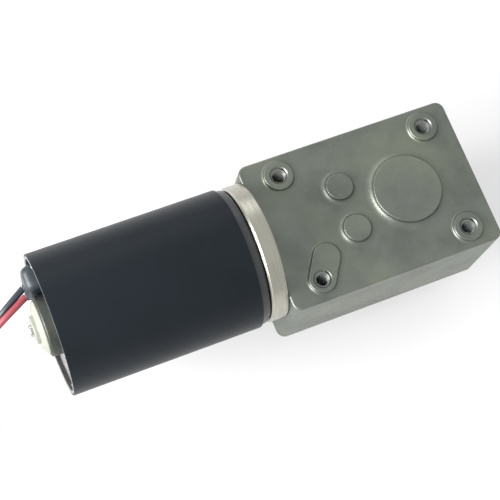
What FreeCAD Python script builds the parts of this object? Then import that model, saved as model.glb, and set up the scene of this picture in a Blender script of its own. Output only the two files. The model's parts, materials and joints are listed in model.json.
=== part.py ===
import FreeCAD, Part
import math
import os
import Sketcher

# A worm-geared DC motor. Millimetres. The origin is on the output shaft's axis, in the plane of the
# mounting face that the shaft comes out of. +Z points from that face to the blind face with the raised
# bosses, and +X points away from the motor, whose axis lies along X at axis_height above the face.

DIMENSIONS = {
    # gearbox housing, a deep die casting that is open at the mounting face
    "housing_length": 58.4,
    "housing_width": 40.0,
    "housing_height": 27.5,
    "far_end": 19.0,
    "corner_round": 2.3,
    "edge_round": 0.5,
    "side_wall": 3.0,
    "end_wall": 3.5,
    "ceiling": 2.5,
    "rim_wall": 1.6,
    "rim_round": 0.9,
    # threaded holes in the corners, and the raised bosses of the blind face
    "hole_centre_x": -9.4,
    "hole_span_x": 41.0,
    "hole_span_y": 29.0,
    "thread_radius": 2.0,
    "mouth_radius": 2.45,
    "post_radius": 4.3,
    "hole_boss_radius": 3.9,
    "hole_boss_height": 1.0,
    "long_boss_radius": 3.55,
    "long_boss_height": 0.8,
    "long_boss_run": 3.3,
    "long_boss_rise": 5.1,
    "shaft_boss_radius": 9.0,
    "shaft_boss_height": 1.8,
    "pin_boss_radius": 3.6,
    "pin_boss_height": 1.5,
    "shaft_boss_flare": 1.4,
    "pin_boss_flare": 1.0,
    "boss_flare": 0.7,
    "boss_crown": 0.35,
    "inner_boss_radius": 8.2,
    "inner_boss_height": 4.0,
    "pin_seat_radius": 2.9,
    "first_pin_seat_height": 3.6,
    "second_pin_seat_height": 2.6,
    # cover plate, let into the open side of the housing
    "cover_thickness": 3.0,
    "cover_gap": 0.05,
    "pilot_radius": 9.0,
    "pilot_height": 1.5,
    "cover_hub_radius": 8.6,
    "cover_hub_height": 1.2,
    "cover_seat_height": 0.6,
    "cover_screw_side_x": -7.0,
    "cover_screw_side_y": 15.3,
    "cover_screw_end_x": -33.6,
    "cover_screw_end_y": 5.5,
    "screw_post_radius": 2.6,
    "end_post_height": 6.0,
    "screw_radius": 1.25,
    "screw_length": 8.0,
    "screw_head_radius": 2.4,
    "slot_width": 0.5,
    "slot_length": 2.6,
    "slot_depth": 0.6,
    "fit_gap": 0.02,
    # output shaft line
    "shaft_radius": 4.0,
    "shaft_reach": 16.5,
    "flat_length": 15.0,
    "flat_height": 3.0,
    "journal_radius": 5.0,
    "journal_top": 20.6,
    "shaft_top": 26.4,
    "running_gap": 0.05,
    "front_bush_radius": 7.0,
    "rear_bush_radius": 6.0,
    "output_gear_module": 0.8,
    "output_gear_teeth": 29.0,
    "output_gear_base": 4.9,
    "output_gear_width": 5.9,
    "output_hub_radius": 7.5,
    "output_hub_height": 3.2,
    "washer_thickness": 0.5,
    "circlip_thickness": 1.0,
    "circlip_radius": 6.6,
    "circlip_groove": 0.4,
    # gear pins
    "pins_x": -16.38,
    "first_pin_y": 6.5,
    "second_pin_y": -5.25,
    "pin_radius": 1.5,
    "pin_base": 1.0,
    "pin_top": 27.2,
    # worm and its wheel, and the two gears between the wheel and the output gear
    "axis_height": 18.75,
    "worm_module": 0.5,
    "worm_wheel_teeth": 16.0,
    "worm_pitch_radius": 2.5,
    "worm_length": 13.4,
    "worm_wheel_width": 4.0,
    "first_pinion_teeth": 12.0,
    "second_gear_teeth": 35.0,
    "gear_module": 0.5,
    "pinion_hub_radius": 2.2,
    "first_pinion_base": 10.8,
    "second_gear_base": 11.5,
    "second_gear_width": 3.2,
    "second_pinion_teeth": 14.0,
    "second_hub_radius": 3.0,
    "gear_foot": 3.75,
    "pinion_base": 4.2,
    "pin_clip_base": 14.9,
    "pin_clip_thickness": 0.5,
    "pin_clip_radius": 2.9,
    "web_start": -9.1,
    "web_end": -6.1,
    "web_half_width": 4.5,
    "web_bottom": 16.2,
    "tail_bush_radius": 2.2,
    # adapter ring between the gearbox and the motor
    "ring_radius": 18.1,
    "ring_width": 4.6,
    "ring_chamfer": 0.5,
    "ring_bore": 6.55,
    "flange_screw_y": 10.8,
    "flange_screw_rise": 3.3,
    "flange_screw_radius": 1.5,
    "flange_head_radius": 2.75,
    "flange_head_height": 1.6,
    "flange_screw_length": 6.6,
    "motor_screw_rise": 12.0,
    # motor
    "can_radius": 17.9,
    "can_wall": 1.4,
    "can_lip": 0.6,
    "can_length": 52.5,
    "can_shoulder": 1.2,
    "front_boss_radius": 6.5,
    "front_boss_length": 5.6,
    "sleeve_radius": 18.5,
    "sleeve_start": 2.5,
    "plate_recess": 1.25,
    "plate_thickness": 1.2,
    "hub_radius": 7.8,
    "hub_wall": 1.1,
    "hub_height": 2.95,
    "cap_radius": 7.15,
    "cap_rim": 0.7,
    "cap_cone": 0.6,
    "cap_cone_radius": 5.5,
    "cap_nose_radius": 3.7,
    "cap_nose": 1.1,
    "rear_shaft_radius": 1.6,
    "rear_shaft_reach": 0.8,
    "armature_radius": 2.5,
    "worm_seat_radius": 1.2,
    "core_radius": 12.6,
    "core_length": 26.0,
    "core_middle": -69.0,
    "tooth_neck": 3.4,
    "slot_mouth": 1.6,
    "coil_inner": 6.4,
    "coil_outer": 9.6,
    "coil_side": 1.9,
    "coil_overhang": 2.4,
    "magnet_inner": 13.1,
    "magnet_length": 30.0,
    "magnet_half_angle": 62.0,
    "clip_thickness": 1.2,
    "commutator_radius": 4.6,
    "commutator_length": 7.0,
    "holder_thickness": 3.0,
    "brush_width": 4.0,
    "brush_height": 3.0,
    "brush_length": 5.0,
    "brush_arm_thickness": 0.4,
    "bearing_radius": 5.0,
    "bearing_width": 3.2,
    "spacer_radius": 4.0,
    # leads
    "lead_radius": 0.9,
    "grommet_y": 11.4,
    "grommet_z": 18.6,
    "grommet_half_width": 4.0,
    "grommet_half_height": 6.2,
    "grommet_round": 1.5,
    "grommet_reach": 3.7,
    "neck_half_width": 2.1,
    "neck_half_height": 4.0,
    "lead_layer": 1.85,
    "coil_x": -132.0,
    "coil_y": -9.5,
    "coil_inside_radius": 7.6,
    "coil_outside_radius": 13.4,
    "lead_tail_radius": 7.0,
    "strand_length": 4.0,
    "strand_radius": 0.6,
    "tie_width": 2.4,
    "tie_thickness": 0.35,
    "tie_slack": 0.1,
}

PRESSURE_ANGLE = math.radians(20.0)
TOOTH_PLAY = 0.14
ARMATURE_SLOTS = 5

document = FreeCAD.newDocument("geared_dc_motor")


class Size:
    """A dimension of the sheet, or one worked out from several, with the expression that binds it."""

    def __init__(self, number, text):
        self.number = float(number)
        self.text = text

    def joined(self, sign, other, number):
        return Size(number, f"({self.text} {sign} {text_of(other)})")

    def __add__(self, other):
        return self.joined("+", other, self.number + number_of(other))

    def __sub__(self, other):
        return self.joined("-", other, self.number - number_of(other))

    def __mul__(self, other):
        return self.joined("*", other, self.number * number_of(other))

    def __truediv__(self, other):
        return self.joined("/", other, self.number / number_of(other))

    def __radd__(self, other):
        return Size(other, repr(float(other))) + self

    def __rsub__(self, other):
        return Size(other, repr(float(other))) - self

    def __rmul__(self, other):
        return self * other

    def __neg__(self):
        return Size(-self.number, f"(0 - {self.text})")


def number_of(value):
    return value.number if isinstance(value, Size) else float(value)


def text_of(value):
    return value.text if isinstance(value, Size) else repr(float(value))


class Sheet:
    """The driving dimensions as a spreadsheet, read back as Size values by name."""

    def __init__(self, dimensions):
        sheet = document.addObject("Spreadsheet::Sheet", "Dims")
        for row, (name, number) in enumerate(dimensions.items(), start=1):
            sheet.set(f"A{row}", name)
            sheet.set(f"B{row}", str(number))
            sheet.setAlias(f"B{row}", name)
            setattr(self, name, Size(number, f"Dims.{name}"))
        document.recompute()


dim = Sheet(DIMENSIONS)


# ---- document helpers ----------------------------------------------------------------------------------

def bind(item, path, value):
    """Sets a property of a document object to a size, kept bound to the sheet."""
    item.setExpression(path, text_of(value))


def put(item, x=0.0, y=0.0, z=0.0, turn=None):
    """Places an object; turn is its rotation."""
    if turn is not None:
        item.Placement = FreeCAD.Placement(FreeCAD.Vector(0, 0, 0), turn)
    bind(item, "Placement.Base.x", x)
    bind(item, "Placement.Base.y", y)
    bind(item, "Placement.Base.z", z)


def new_body(label):
    body = document.addObject("PartDesign::Body", label)
    body.Label = label
    return body


def new_sketch(body, plane, height=0.0):
    """A sketch on one of the body's own planes, moved along that plane's normal."""
    sketch = body.newObject("Sketcher::SketchObject", "Sketch")
    base = next(item for item in body.Origin.OriginFeatures if item.Role == plane)
    sketch.AttachmentSupport = [(base, "")]
    sketch.MapMode = "FlatFace"
    bind(sketch, "AttachmentOffset.Base.z", height)
    return sketch


def fix_point(sketch, index, position, x, y):
    """Dimensions one point of a sketch from the sketch's origin."""
    for kind, axis, value in (("DistanceX", -2, x), ("DistanceY", -1, y)):
        if abs(number_of(value)) < 1e-9:
            sketch.addConstraint(Sketcher.Constraint("PointOnObject", index, position, axis))
            continue
        made = sketch.addConstraint(Sketcher.Constraint(kind, -1, 1, index, position, number_of(value)))
        sketch.setExpression(f"Constraints[{made}]", text_of(value))


def draw_outline(sketch, corners):
    """A closed outline of straight lines through the corners."""
    spots = [FreeCAD.Vector(number_of(x), number_of(y), 0) for x, y in corners]
    lines = []
    for here, there in zip(spots, spots[1:] + spots[:1]):
        lines.append(sketch.addGeometry(Part.LineSegment(here, there)))
    for line, following in zip(lines, lines[1:] + lines[:1]):
        sketch.addConstraint(Sketcher.Constraint("Coincident", line, 2, following, 1))
    for line, (x, y) in zip(lines, corners):
        fix_point(sketch, line, 1, x, y)


def draw_box(sketch, x_low, x_high, y_low, y_high):
    draw_outline(sketch, [(x_low, y_low), (x_high, y_low), (x_high, y_high), (x_low, y_high)])


def draw_circle(sketch, x, y, radius):
    centre = FreeCAD.Vector(number_of(x), number_of(y), 0)
    index = sketch.addGeometry(Part.Circle(centre, FreeCAD.Vector(0, 0, 1), number_of(radius)))
    made = sketch.addConstraint(Sketcher.Constraint("Radius", index, number_of(radius)))
    sketch.setExpression(f"Constraints[{made}]", text_of(radius))
    fix_point(sketch, index, 3, x, y)


def pad(body, sketch, length, backwards=False):
    """Adds the sketch's outline to the body, along the sketch's normal."""
    feature = body.newObject("PartDesign::Pad", "Pad")
    feature.Profile = sketch
    bind(feature, "Length", length)
    feature.Reversed = backwards
    return finished(body, feature, grows=True)


def pocket(body, sketch, length, backwards=False):
    """Cuts the sketch's outline out of the body, along the sketch's normal, or against it."""
    feature = body.newObject("PartDesign::Pocket", "Pocket")
    feature.Profile = sketch
    bind(feature, "Length", length)
    feature.Reversed = not backwards
    return finished(body, feature, grows=False)


def finished(body, feature, grows):
    """Recomputes and makes sure that the feature added or removed material."""
    before = feature.BaseFeature.Shape.Volume if feature.BaseFeature else 0.0
    document.recompute()
    change = feature.Shape.Volume - before
    if (change > 0) != grows or abs(change) < 1e-6:
        raise RuntimeError(f"{body.Label}: {feature.Name} changed the volume by {change:.4f}")
    return feature


def round_edges(body, base, radius, test):
    """Fillets the edges of the base feature that pass the test."""
    names = [f"Edge{i + 1}" for i, edge in enumerate(base.Shape.Edges) if test(edge)]
    if not names:
        raise RuntimeError(f"{body.Label}: no edge to round")
    feature = body.newObject("PartDesign::Fillet", "Fillet")
    feature.Base = (base, names)
    bind(feature, "Radius", radius)
    document.recompute()
    return feature


def is_upright(edge):
    """A straight edge along Z."""
    return edge.Curve.TypeId == "Part::GeomLine" and abs(edge.tangentAt(edge.FirstParameter).z) > 0.999


def lies_at(edge, height):
    """Every point of the edge is at this Z."""
    return abs(edge.BoundBox.ZMin - height) < 1e-4 and abs(edge.BoundBox.ZMax - height) < 1e-4


def is_round(edge, radius):
    return edge.Curve.TypeId == "Part::GeomCircle" and abs(edge.Curve.Radius - number_of(radius)) < 1e-4


def turned(label, corners, along="X"):
    """A piece turned on a lathe: corners are (place along the axis, radius)."""
    body = new_body(label)
    sketch = new_sketch(body, "XZ_Plane")
    if along == "X":
        draw_outline(sketch, corners)
    else:
        draw_outline(sketch, [(radius, place) for place, radius in corners])
    feature = body.newObject("PartDesign::Revolution", "Revolution")
    feature.Profile = sketch
    feature.ReferenceAxis = (sketch, ["H_Axis" if along == "X" else "V_Axis"])
    feature.Angle = 360
    finished(body, feature, grows=True)
    return body


def tube(label, start, end, inner, outer, along="X"):
    """A plain ring or bush."""
    return turned(label, [(start, inner), (end, inner), (end, outer), (start, outer)], along)


def group(label, items):
    """Several loose pieces of one kind under one name."""
    compound = document.addObject("Part::Compound", label)
    compound.Label = label
    compound.Links = items
    document.recompute()
    return compound


def plain_shape(label, shape, x=0.0, y=0.0, z=0.0, turn=None):
    """A piece whose surface Part's own functions make, such as gear teeth."""
    feature = document.addObject("Part::Feature", label)
    feature.Label = label
    feature.Shape = shape
    put(feature, x, y, z, turn)
    return feature


# ---- gears ---------------------------------------------------------------------------------------------

def involute_angle(radius, base_radius):
    """The involute function at a radius: how far the flank has turned from its start."""
    if radius <= base_radius:
        return 0.0
    pressure = math.acos(base_radius / radius)
    return math.tan(pressure) - pressure


def gear_outline(module, teeth, play, addendum=0.95, dedendum=1.3):
    """Points round a spur gear with involute flanks, one tooth centred on the X axis."""
    pitch = module * teeth / 2
    base = pitch * math.cos(PRESSURE_ANGLE)
    tip = pitch + addendum * module
    root = pitch - dedendum * module
    half_at_pitch = math.pi / (2 * teeth) - play / (2 * pitch)
    half_at_base = half_at_pitch + involute_angle(pitch, base)
    flank_start = max(base, root)
    steps = 6
    radii = [flank_start + (tip - flank_start) * i / steps for i in range(steps + 1)]
    flank = [(radius, half_at_base - involute_angle(radius, base)) for radius in radii]
    if root < base:
        flank.insert(0, (root, half_at_base))
    return pitch, tip, root, flank


def polar(radius, angle, z=0.0):
    return FreeCAD.Vector(radius * math.cos(angle), radius * math.sin(angle), z)


def gear_wire(module, teeth, play, phase=0.0):
    """The closed outline of a spur gear: flanks as splines, tips and roots as arcs."""
    pitch, tip, root, flank = gear_outline(module, teeth, play)
    edges = []
    step = 2 * math.pi / teeth
    for tooth in range(int(teeth)):
        middle = phase + tooth * step
        rising = [polar(radius, middle - angle) for radius, angle in flank]
        falling = [polar(radius, middle + angle) for radius, angle in reversed(flank)]
        next_start = polar(flank[0][0], middle + step - flank[0][1])
        edges.append(smooth_edge(rising))
        edges.append(Part.Arc(rising[-1], polar(tip, middle), falling[0]).toShape())
        edges.append(smooth_edge(falling))
        edges.append(Part.Arc(falling[-1], polar(root, middle + step / 2), next_start).toShape())
    return Part.Wire(edges)


def smooth_edge(points):
    curve = Part.BSplineCurve()
    curve.interpolate(points)
    return curve.toShape()


def spur_gear(module, teeth, width, bore, phase=0.0, play=TOOTH_PLAY):
    """A spur gear from Z = 0 up, with a bore."""
    blank = Part.Face(gear_wire(module, teeth, play, phase)).extrude(FreeCAD.Vector(0, 0, width))
    return blank.cut(Part.makeCylinder(bore, width))


def twisted(outline, length, lead):
    """The outline, drawn at Z = 0, screwed up along Z with the given lead."""
    spine = Part.Wire(Part.makeLine(FreeCAD.Vector(0, 0, 0), FreeCAD.Vector(0, 0, length)))
    guide = Part.Wire(Part.makeHelix(lead, length, 1.0))
    shell = Part.BRepOffsetAPI.MakePipeShell(spine)
    shell.setAuxiliarySpine(guide, True, 0)
    shell.add(outline)
    shell.build()
    shell.makeSolid()
    return shell.shape()


def turned_about_z(shape, angle):
    shape.rotate(FreeCAD.Vector(0, 0, 0), FreeCAD.Vector(0, 0, 1), math.degrees(angle))
    return shape


def worm_wheel_shape(module, teeth, width, bore, lead, phase):
    """A worm wheel centred on Z = 0, its teeth slanted to match a right-handed worm of that lead."""
    own_lead = (2 * math.pi) ** 2 * (module * teeth / 2) * dim.worm_pitch_radius.number / lead
    wheel = twisted(gear_wire(module, teeth, TOOTH_PLAY), width, own_lead)
    wheel.translate(FreeCAD.Vector(0, 0, -width / 2))
    wheel = turned_about_z(wheel, phase - math.pi * width / own_lead)
    return wheel.cut(Part.makeCylinder(bore, 2 * width, FreeCAD.Vector(0, 0, -width)))


def worm_shape(module, pitch_radius, length, bore):
    """A right-handed worm centred on Z = 0, with the crest of its thread on the X axis there."""
    lead = math.pi * module
    tip = pitch_radius + 0.9 * module
    root = pitch_radius - 1.25 * module
    slope = math.tan(PRESSURE_ANGLE)

    def half_angle(radius):
        reach = lead / 4 - TOOTH_PLAY / 2 - (radius - pitch_radius) * slope
        return 2 * math.pi * reach / lead

    steps = 6
    radii = [root + (tip - root) * i / steps for i in range(steps + 1)]
    rising = [polar(radius, -half_angle(radius)) for radius in radii]
    falling = [polar(radius, half_angle(radius)) for radius in reversed(radii)]
    crest = Part.Arc(rising[-1], polar(tip, 0), falling[0]).toShape()
    valley = Part.Arc(falling[-1], polar(root, math.pi), rising[0]).toShape()
    outline = Part.Wire([smooth_edge(rising), crest, smooth_edge(falling), valley])
    worm = twisted(outline, length, lead)
    worm = turned_about_z(worm, -math.pi * length / lead)
    worm.translate(FreeCAD.Vector(0, 0, -length / 2))
    return worm.cut(Part.makeCylinder(bore, 2 * length, FreeCAD.Vector(0, 0, -length)))


# ---- places that several pieces share -------------------------------------------------------------------

motor_end = dim.far_end - dim.housing_length
half_width = dim.housing_width / 2
cavity_top = dim.housing_height - dim.ceiling
ring_back = motor_end - dim.ring_width
can_rear = ring_back - dim.can_length
plate_face = can_rear + dim.plate_recess
plate_back = plate_face + dim.plate_thickness
hub_end = plate_face - dim.hub_height
cap_end = hub_end - dim.cap_rim - dim.cap_cone - dim.cap_nose
floor = -dim.shaft_reach

CORNERS = [(side_x, side_y) for side_x in (-1, 1) for side_y in (-1, 1)]


def corner_holes():
    """The four corner holes that both faces are threaded at."""
    return [
        (dim.hole_centre_x + side_x * dim.hole_span_x / 2, side_y * dim.hole_span_y / 2)
        for side_x, side_y in CORNERS
    ]


def cover_screw_places():
    """Two cover screws beside the gears and two at the motor end."""
    side = [(dim.cover_screw_side_x, sign * dim.cover_screw_side_y) for sign in (-1, 1)]
    end = [(dim.cover_screw_end_x, sign * dim.cover_screw_end_y) for sign in (-1, 1)]
    return side, end


def flange_screw_places():
    """The four screws that hold the adapter ring, as (y, z) from the motor's axis."""
    return [(side_y * dim.flange_screw_y, side_z * dim.flange_screw_rise) for side_y, side_z in CORNERS]


# ---- gearbox casing --------------------------------------------------------------------------------------

def gearbox_housing():
    body = new_body("gearbox_housing")
    sketch = new_sketch(body, "XY_Plane")
    draw_box(sketch, motor_end, dim.far_end, -half_width, half_width)
    block = pad(body, sketch, dim.housing_height)
    block = round_edges(body, block, dim.corner_round, is_upright)
    top = dim.housing_height.number
    round_edges(body, block, dim.edge_round, lambda edge: lies_at(edge, top))
    hollow_out(body)
    add_inner_posts(body)
    add_outer_bosses(body)
    drill_housing(body)


def hollow_out(body):
    """The seat of the cover, and the gear cavity above it."""
    sketch = new_sketch(body, "XY_Plane")
    inset = half_width - dim.rim_wall
    draw_box(sketch, motor_end + dim.rim_wall, dim.far_end - dim.rim_wall, -inset, inset)
    seat = pocket(body, sketch, dim.cover_thickness)
    depth = dim.cover_thickness.number

    def seat_corner(edge):
        inside = abs(abs(edge.CenterOfMass.y) - number_of(inset)) < 1e-3
        return is_upright(edge) and inside and edge.BoundBox.ZMax < depth + 1e-3

    round_edges(body, seat, dim.rim_round, seat_corner)
    sketch = new_sketch(body, "XY_Plane")
    wall = half_width - dim.side_wall
    draw_box(sketch, motor_end + dim.end_wall, dim.far_end - dim.side_wall, -wall, wall)
    pocket(body, sketch, cavity_top)


def add_inner_posts(body):
    """Screw posts, the seats of the shaft and the pins under the ceiling, and the web at the worm's tail."""
    side_screws, end_screws = cover_screw_places()
    sketch = new_sketch(body, "XY_Plane")
    for x, y in corner_holes():
        draw_circle(sketch, x, y, dim.post_radius)
    pad(body, sketch, cavity_top)
    sketch = new_sketch(body, "XY_Plane")
    for x, y in corner_holes():
        draw_post_root(sketch, x, y, dim.post_radius, half_width - dim.rim_wall / 2)
    pad(body, sketch, dim.cover_thickness)
    sketch = new_sketch(body, "XY_Plane", dim.cover_thickness)
    for x, y in side_screws:
        draw_circle(sketch, x, y, dim.screw_post_radius)
    pad(body, sketch, cavity_top - dim.cover_thickness)
    sketch = new_sketch(body, "XY_Plane", dim.cover_thickness)
    for x, y in end_screws:
        draw_circle(sketch, x, y, dim.screw_post_radius)
    pad(body, sketch, dim.end_post_height)
    for x, y, radius, height in (
        (0, 0, dim.inner_boss_radius, dim.inner_boss_height),
        (dim.pins_x, dim.first_pin_y, dim.pin_seat_radius, dim.first_pin_seat_height),
        (dim.pins_x, dim.second_pin_y, dim.pin_seat_radius, dim.second_pin_seat_height),
    ):
        sketch = new_sketch(body, "XY_Plane", cavity_top)
        draw_circle(sketch, x, y, radius)
        pad(body, sketch, height, backwards=True)
    sketch = new_sketch(body, "XY_Plane", dim.web_bottom)
    draw_box(sketch, dim.web_start, dim.web_end, -dim.web_half_width, dim.web_half_width)
    pad(body, sketch, cavity_top - dim.web_bottom)


def draw_post_root(sketch, x, y, radius, reach):
    """The straight part that joins a corner post to the long side nearest to it."""
    if number_of(y) > 0:
        draw_box(sketch, x - radius, x + radius, y, reach)
    else:
        draw_box(sketch, x - radius, x + radius, -reach, y)


def add_outer_bosses(body):
    """The raised bosses of the blind face, each with a flared foot and a softened crown."""
    *round_holes, long_hole = sorted(corner_holes(), key=lambda spot: (number_of(spot[0]) < 0) * 2
                                     - (number_of(spot[1]) > 0))
    holes = [(x, y, dim.hole_boss_radius) for x, y in round_holes]
    pins = [(dim.pins_x, y, dim.pin_boss_radius) for y in (dim.first_pin_y, dim.second_pin_y)]
    shaft = [(0, 0, dim.shaft_boss_radius)]
    for circles, height, flare in (
        (holes, dim.hole_boss_height, dim.boss_flare),
        (pins, dim.pin_boss_height, dim.pin_boss_flare),
        (shaft, dim.shaft_boss_height, dim.shaft_boss_flare),
    ):
        sketch = new_sketch(body, "XY_Plane", dim.housing_height)
        for x, y, radius in circles:
            draw_circle(sketch, x, y, radius)
        made = pad(body, sketch, height)
        soften_boss(body, made, height, flare, lambda edge: is_round(edge, circles[0][2]))
    add_long_boss(body, long_hole)


def add_long_boss(body, hole):
    """The obround boss that starts at one corner hole and runs in towards the gear pins."""
    x, y = hole
    reach = math.hypot(dim.long_boss_run.number, dim.long_boss_rise.number)
    across_x = dim.long_boss_rise * (dim.long_boss_radius.number / reach)
    across_y = dim.long_boss_run * (dim.long_boss_radius.number / reach)
    end_x = x + dim.long_boss_run
    end_y = y + dim.long_boss_rise
    for spot_x, spot_y in ((x, y), (end_x, end_y)):
        sketch = new_sketch(body, "XY_Plane", dim.housing_height)
        draw_circle(sketch, spot_x, spot_y, dim.long_boss_radius)
        pad(body, sketch, dim.long_boss_height)
    sketch = new_sketch(body, "XY_Plane", dim.housing_height)
    draw_outline(sketch, [
        (x + across_x, y - across_y),
        (end_x + across_x, end_y - across_y),
        (end_x - across_x, end_y + across_y),
        (x - across_x, y + across_y),
    ])
    made = pad(body, sketch, dim.long_boss_height)
    middle = FreeCAD.Vector(number_of(x + end_x) / 2, number_of(y + end_y) / 2, 0)
    furthest = reach / 2 + dim.long_boss_radius.number + 0.1

    def is_near(edge):
        offset = edge.CenterOfMass - middle
        return math.hypot(offset.x, offset.y) < furthest and edge.BoundBox.DiagonalLength < 2.2 * furthest

    soften_boss(body, made, dim.long_boss_height, dim.boss_flare, is_near)


def soften_boss(body, base, height, flare, test):
    """Fillets the foot of a boss outwards and rounds the edge of its top."""
    foot = dim.housing_height.number
    top = foot + height.number
    made = round_edges(body, base, flare, lambda edge: lies_at(edge, foot) and test(edge))
    round_edges(body, made, dim.boss_crown, lambda edge: lies_at(edge, top) and test(edge))


def drill_housing(body):
    """Corner holes, bearing and pin seats, and the openings in the motor end."""
    side_screws, end_screws = cover_screw_places()
    sketch = new_sketch(body, "XY_Plane")
    for x, y in corner_holes():
        draw_circle(sketch, x, y, dim.thread_radius)
    drilled = pocket(body, sketch, dim.housing_height + dim.hole_boss_height)
    chamfer = body.newObject("PartDesign::Chamfer", "Chamfer")
    above = dim.housing_height.number
    mouths = [
        f"Edge{i + 1}" for i, edge in enumerate(drilled.Shape.Edges)
        if is_round(edge, dim.thread_radius)
        and (edge.BoundBox.ZMin > above or lies_at(edge, 0.0))
    ]
    chamfer.Base = (drilled, mouths)
    bind(chamfer, "Size", dim.mouth_radius - dim.thread_radius)
    document.recompute()
    for places, depth in ((side_screws, dim.screw_length), (end_screws, dim.end_post_height)):
        sketch = new_sketch(body, "XY_Plane", dim.cover_thickness)
        for x, y in places:
            draw_circle(sketch, x, y, dim.screw_radius + dim.fit_gap)
        pocket(body, sketch, depth)
    for x, y, radius, drop in (
        (0, 0, dim.rear_bush_radius, dim.inner_boss_height),
        (dim.pins_x, dim.first_pin_y, dim.pin_radius, dim.first_pin_seat_height),
        (dim.pins_x, dim.second_pin_y, dim.pin_radius, dim.second_pin_seat_height),
    ):
        sketch = new_sketch(body, "XY_Plane", cavity_top - drop)
        draw_circle(sketch, x, y, radius)
        pocket(body, sketch, dim.pin_top - cavity_top + drop)
    sketch = new_sketch(body, "YZ_Plane", motor_end)
    draw_circle(sketch, 0, dim.axis_height, dim.ring_bore)
    for y, rise in flange_screw_places():
        draw_circle(sketch, y, dim.axis_height + rise, dim.flange_screw_radius + dim.fit_gap)
    pocket(body, sketch, dim.end_wall)
    sketch = new_sketch(body, "YZ_Plane", dim.web_start)
    draw_circle(sketch, 0, dim.axis_height, dim.tail_bush_radius)
    pocket(body, sketch, dim.web_end - dim.web_start)


def gearbox_cover():
    body = new_body("gearbox_cover")
    margin = dim.rim_wall + dim.cover_gap
    sketch = new_sketch(body, "XY_Plane")
    draw_box(sketch, motor_end + margin, dim.far_end - margin, -half_width + margin, half_width - margin)
    plate = pad(body, sketch, dim.cover_thickness)
    round_edges(body, plate, dim.rim_round - dim.cover_gap, is_upright)
    sketch = new_sketch(body, "XY_Plane")
    draw_circle(sketch, 0, 0, dim.pilot_radius)
    pad(body, sketch, dim.pilot_height, backwards=True)
    pins = [(dim.pins_x, y) for y in (dim.first_pin_y, dim.second_pin_y)]
    sketch = new_sketch(body, "XY_Plane", dim.cover_thickness)
    draw_circle(sketch, 0, 0, dim.cover_hub_radius)
    pad(body, sketch, dim.cover_hub_height)
    sketch = new_sketch(body, "XY_Plane", dim.cover_thickness)
    for x, y in pins:
        draw_circle(sketch, x, y, dim.pin_seat_radius)
    pad(body, sketch, dim.cover_seat_height)
    sketch = new_sketch(body, "XY_Plane", -dim.pilot_height)
    draw_circle(sketch, 0, 0, dim.front_bush_radius)
    pocket(body, sketch, dim.pilot_height + dim.cover_thickness + dim.cover_hub_height)
    sketch = new_sketch(body, "XY_Plane", dim.pin_base)
    for x, y in pins:
        draw_circle(sketch, x, y, dim.pin_radius)
    pocket(body, sketch, dim.cover_thickness + dim.cover_seat_height - dim.pin_base)
    notch = dim.post_radius + dim.cover_gap
    sketch = new_sketch(body, "XY_Plane")
    for x, y in corner_holes():
        draw_circle(sketch, x, y, notch)
    pocket(body, sketch, dim.cover_thickness)
    sketch = new_sketch(body, "XY_Plane")
    for x, y in corner_holes():
        draw_post_root(sketch, x, y, notch, half_width)
    pocket(body, sketch, dim.cover_thickness)
    side_screws, end_screws = cover_screw_places()
    sketch = new_sketch(body, "XY_Plane")
    for x, y in side_screws + end_screws:
        draw_circle(sketch, x, y, dim.screw_radius + dim.cover_gap)
    drilled = pocket(body, sketch, dim.cover_thickness)
    chamfer = body.newObject("PartDesign::Chamfer", "Chamfer")
    mouths = [
        f"Edge{i + 1}" for i, edge in enumerate(drilled.Shape.Edges)
        if is_round(edge, dim.screw_radius + dim.cover_gap) and lies_at(edge, 0.0)
    ]
    chamfer.Base = (drilled, mouths)
    bind(chamfer, "Size", dim.screw_head_radius - dim.screw_radius)
    document.recompute()


def cross_slot(body, plane, height, depth):
    """A cross recess in a screw head, at the middle of the sketch plane; depth is cut along its normal."""
    for wide, tall in ((dim.slot_length, dim.slot_width), (dim.slot_width, dim.slot_length)):
        sketch = new_sketch(body, plane, height)
        draw_box(sketch, -wide / 2, wide / 2, -tall / 2, tall / 2)
        pocket(body, sketch, depth)


def cover_screws():
    """Countersunk screws, their heads just under the face of the cover."""
    screws = []
    side_screws, end_screws = cover_screw_places()
    sunk = dim.cover_gap
    head = dim.screw_head_radius - dim.screw_radius
    lengths = [dim.screw_length + dim.cover_thickness - 0.5] * 2 + [dim.end_post_height + 2.0] * 2
    for (x, y), length in zip(side_screws + end_screws, lengths):
        screw = turned("cover_screw", [
            (sunk, 0), (sunk, dim.screw_head_radius - dim.cover_gap), (sunk + head, dim.screw_radius),
            (length, dim.screw_radius), (length + 0.4, dim.screw_radius - 0.4), (length + 0.4, 0),
        ], along="Z")
        cross_slot(screw, "XY_Plane", sunk, dim.slot_depth)
        put(screw, x, y, 0)
        screws.append(screw)
    group("cover_screws", screws)


# ---- output shaft ----------------------------------------------------------------------------------------

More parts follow.
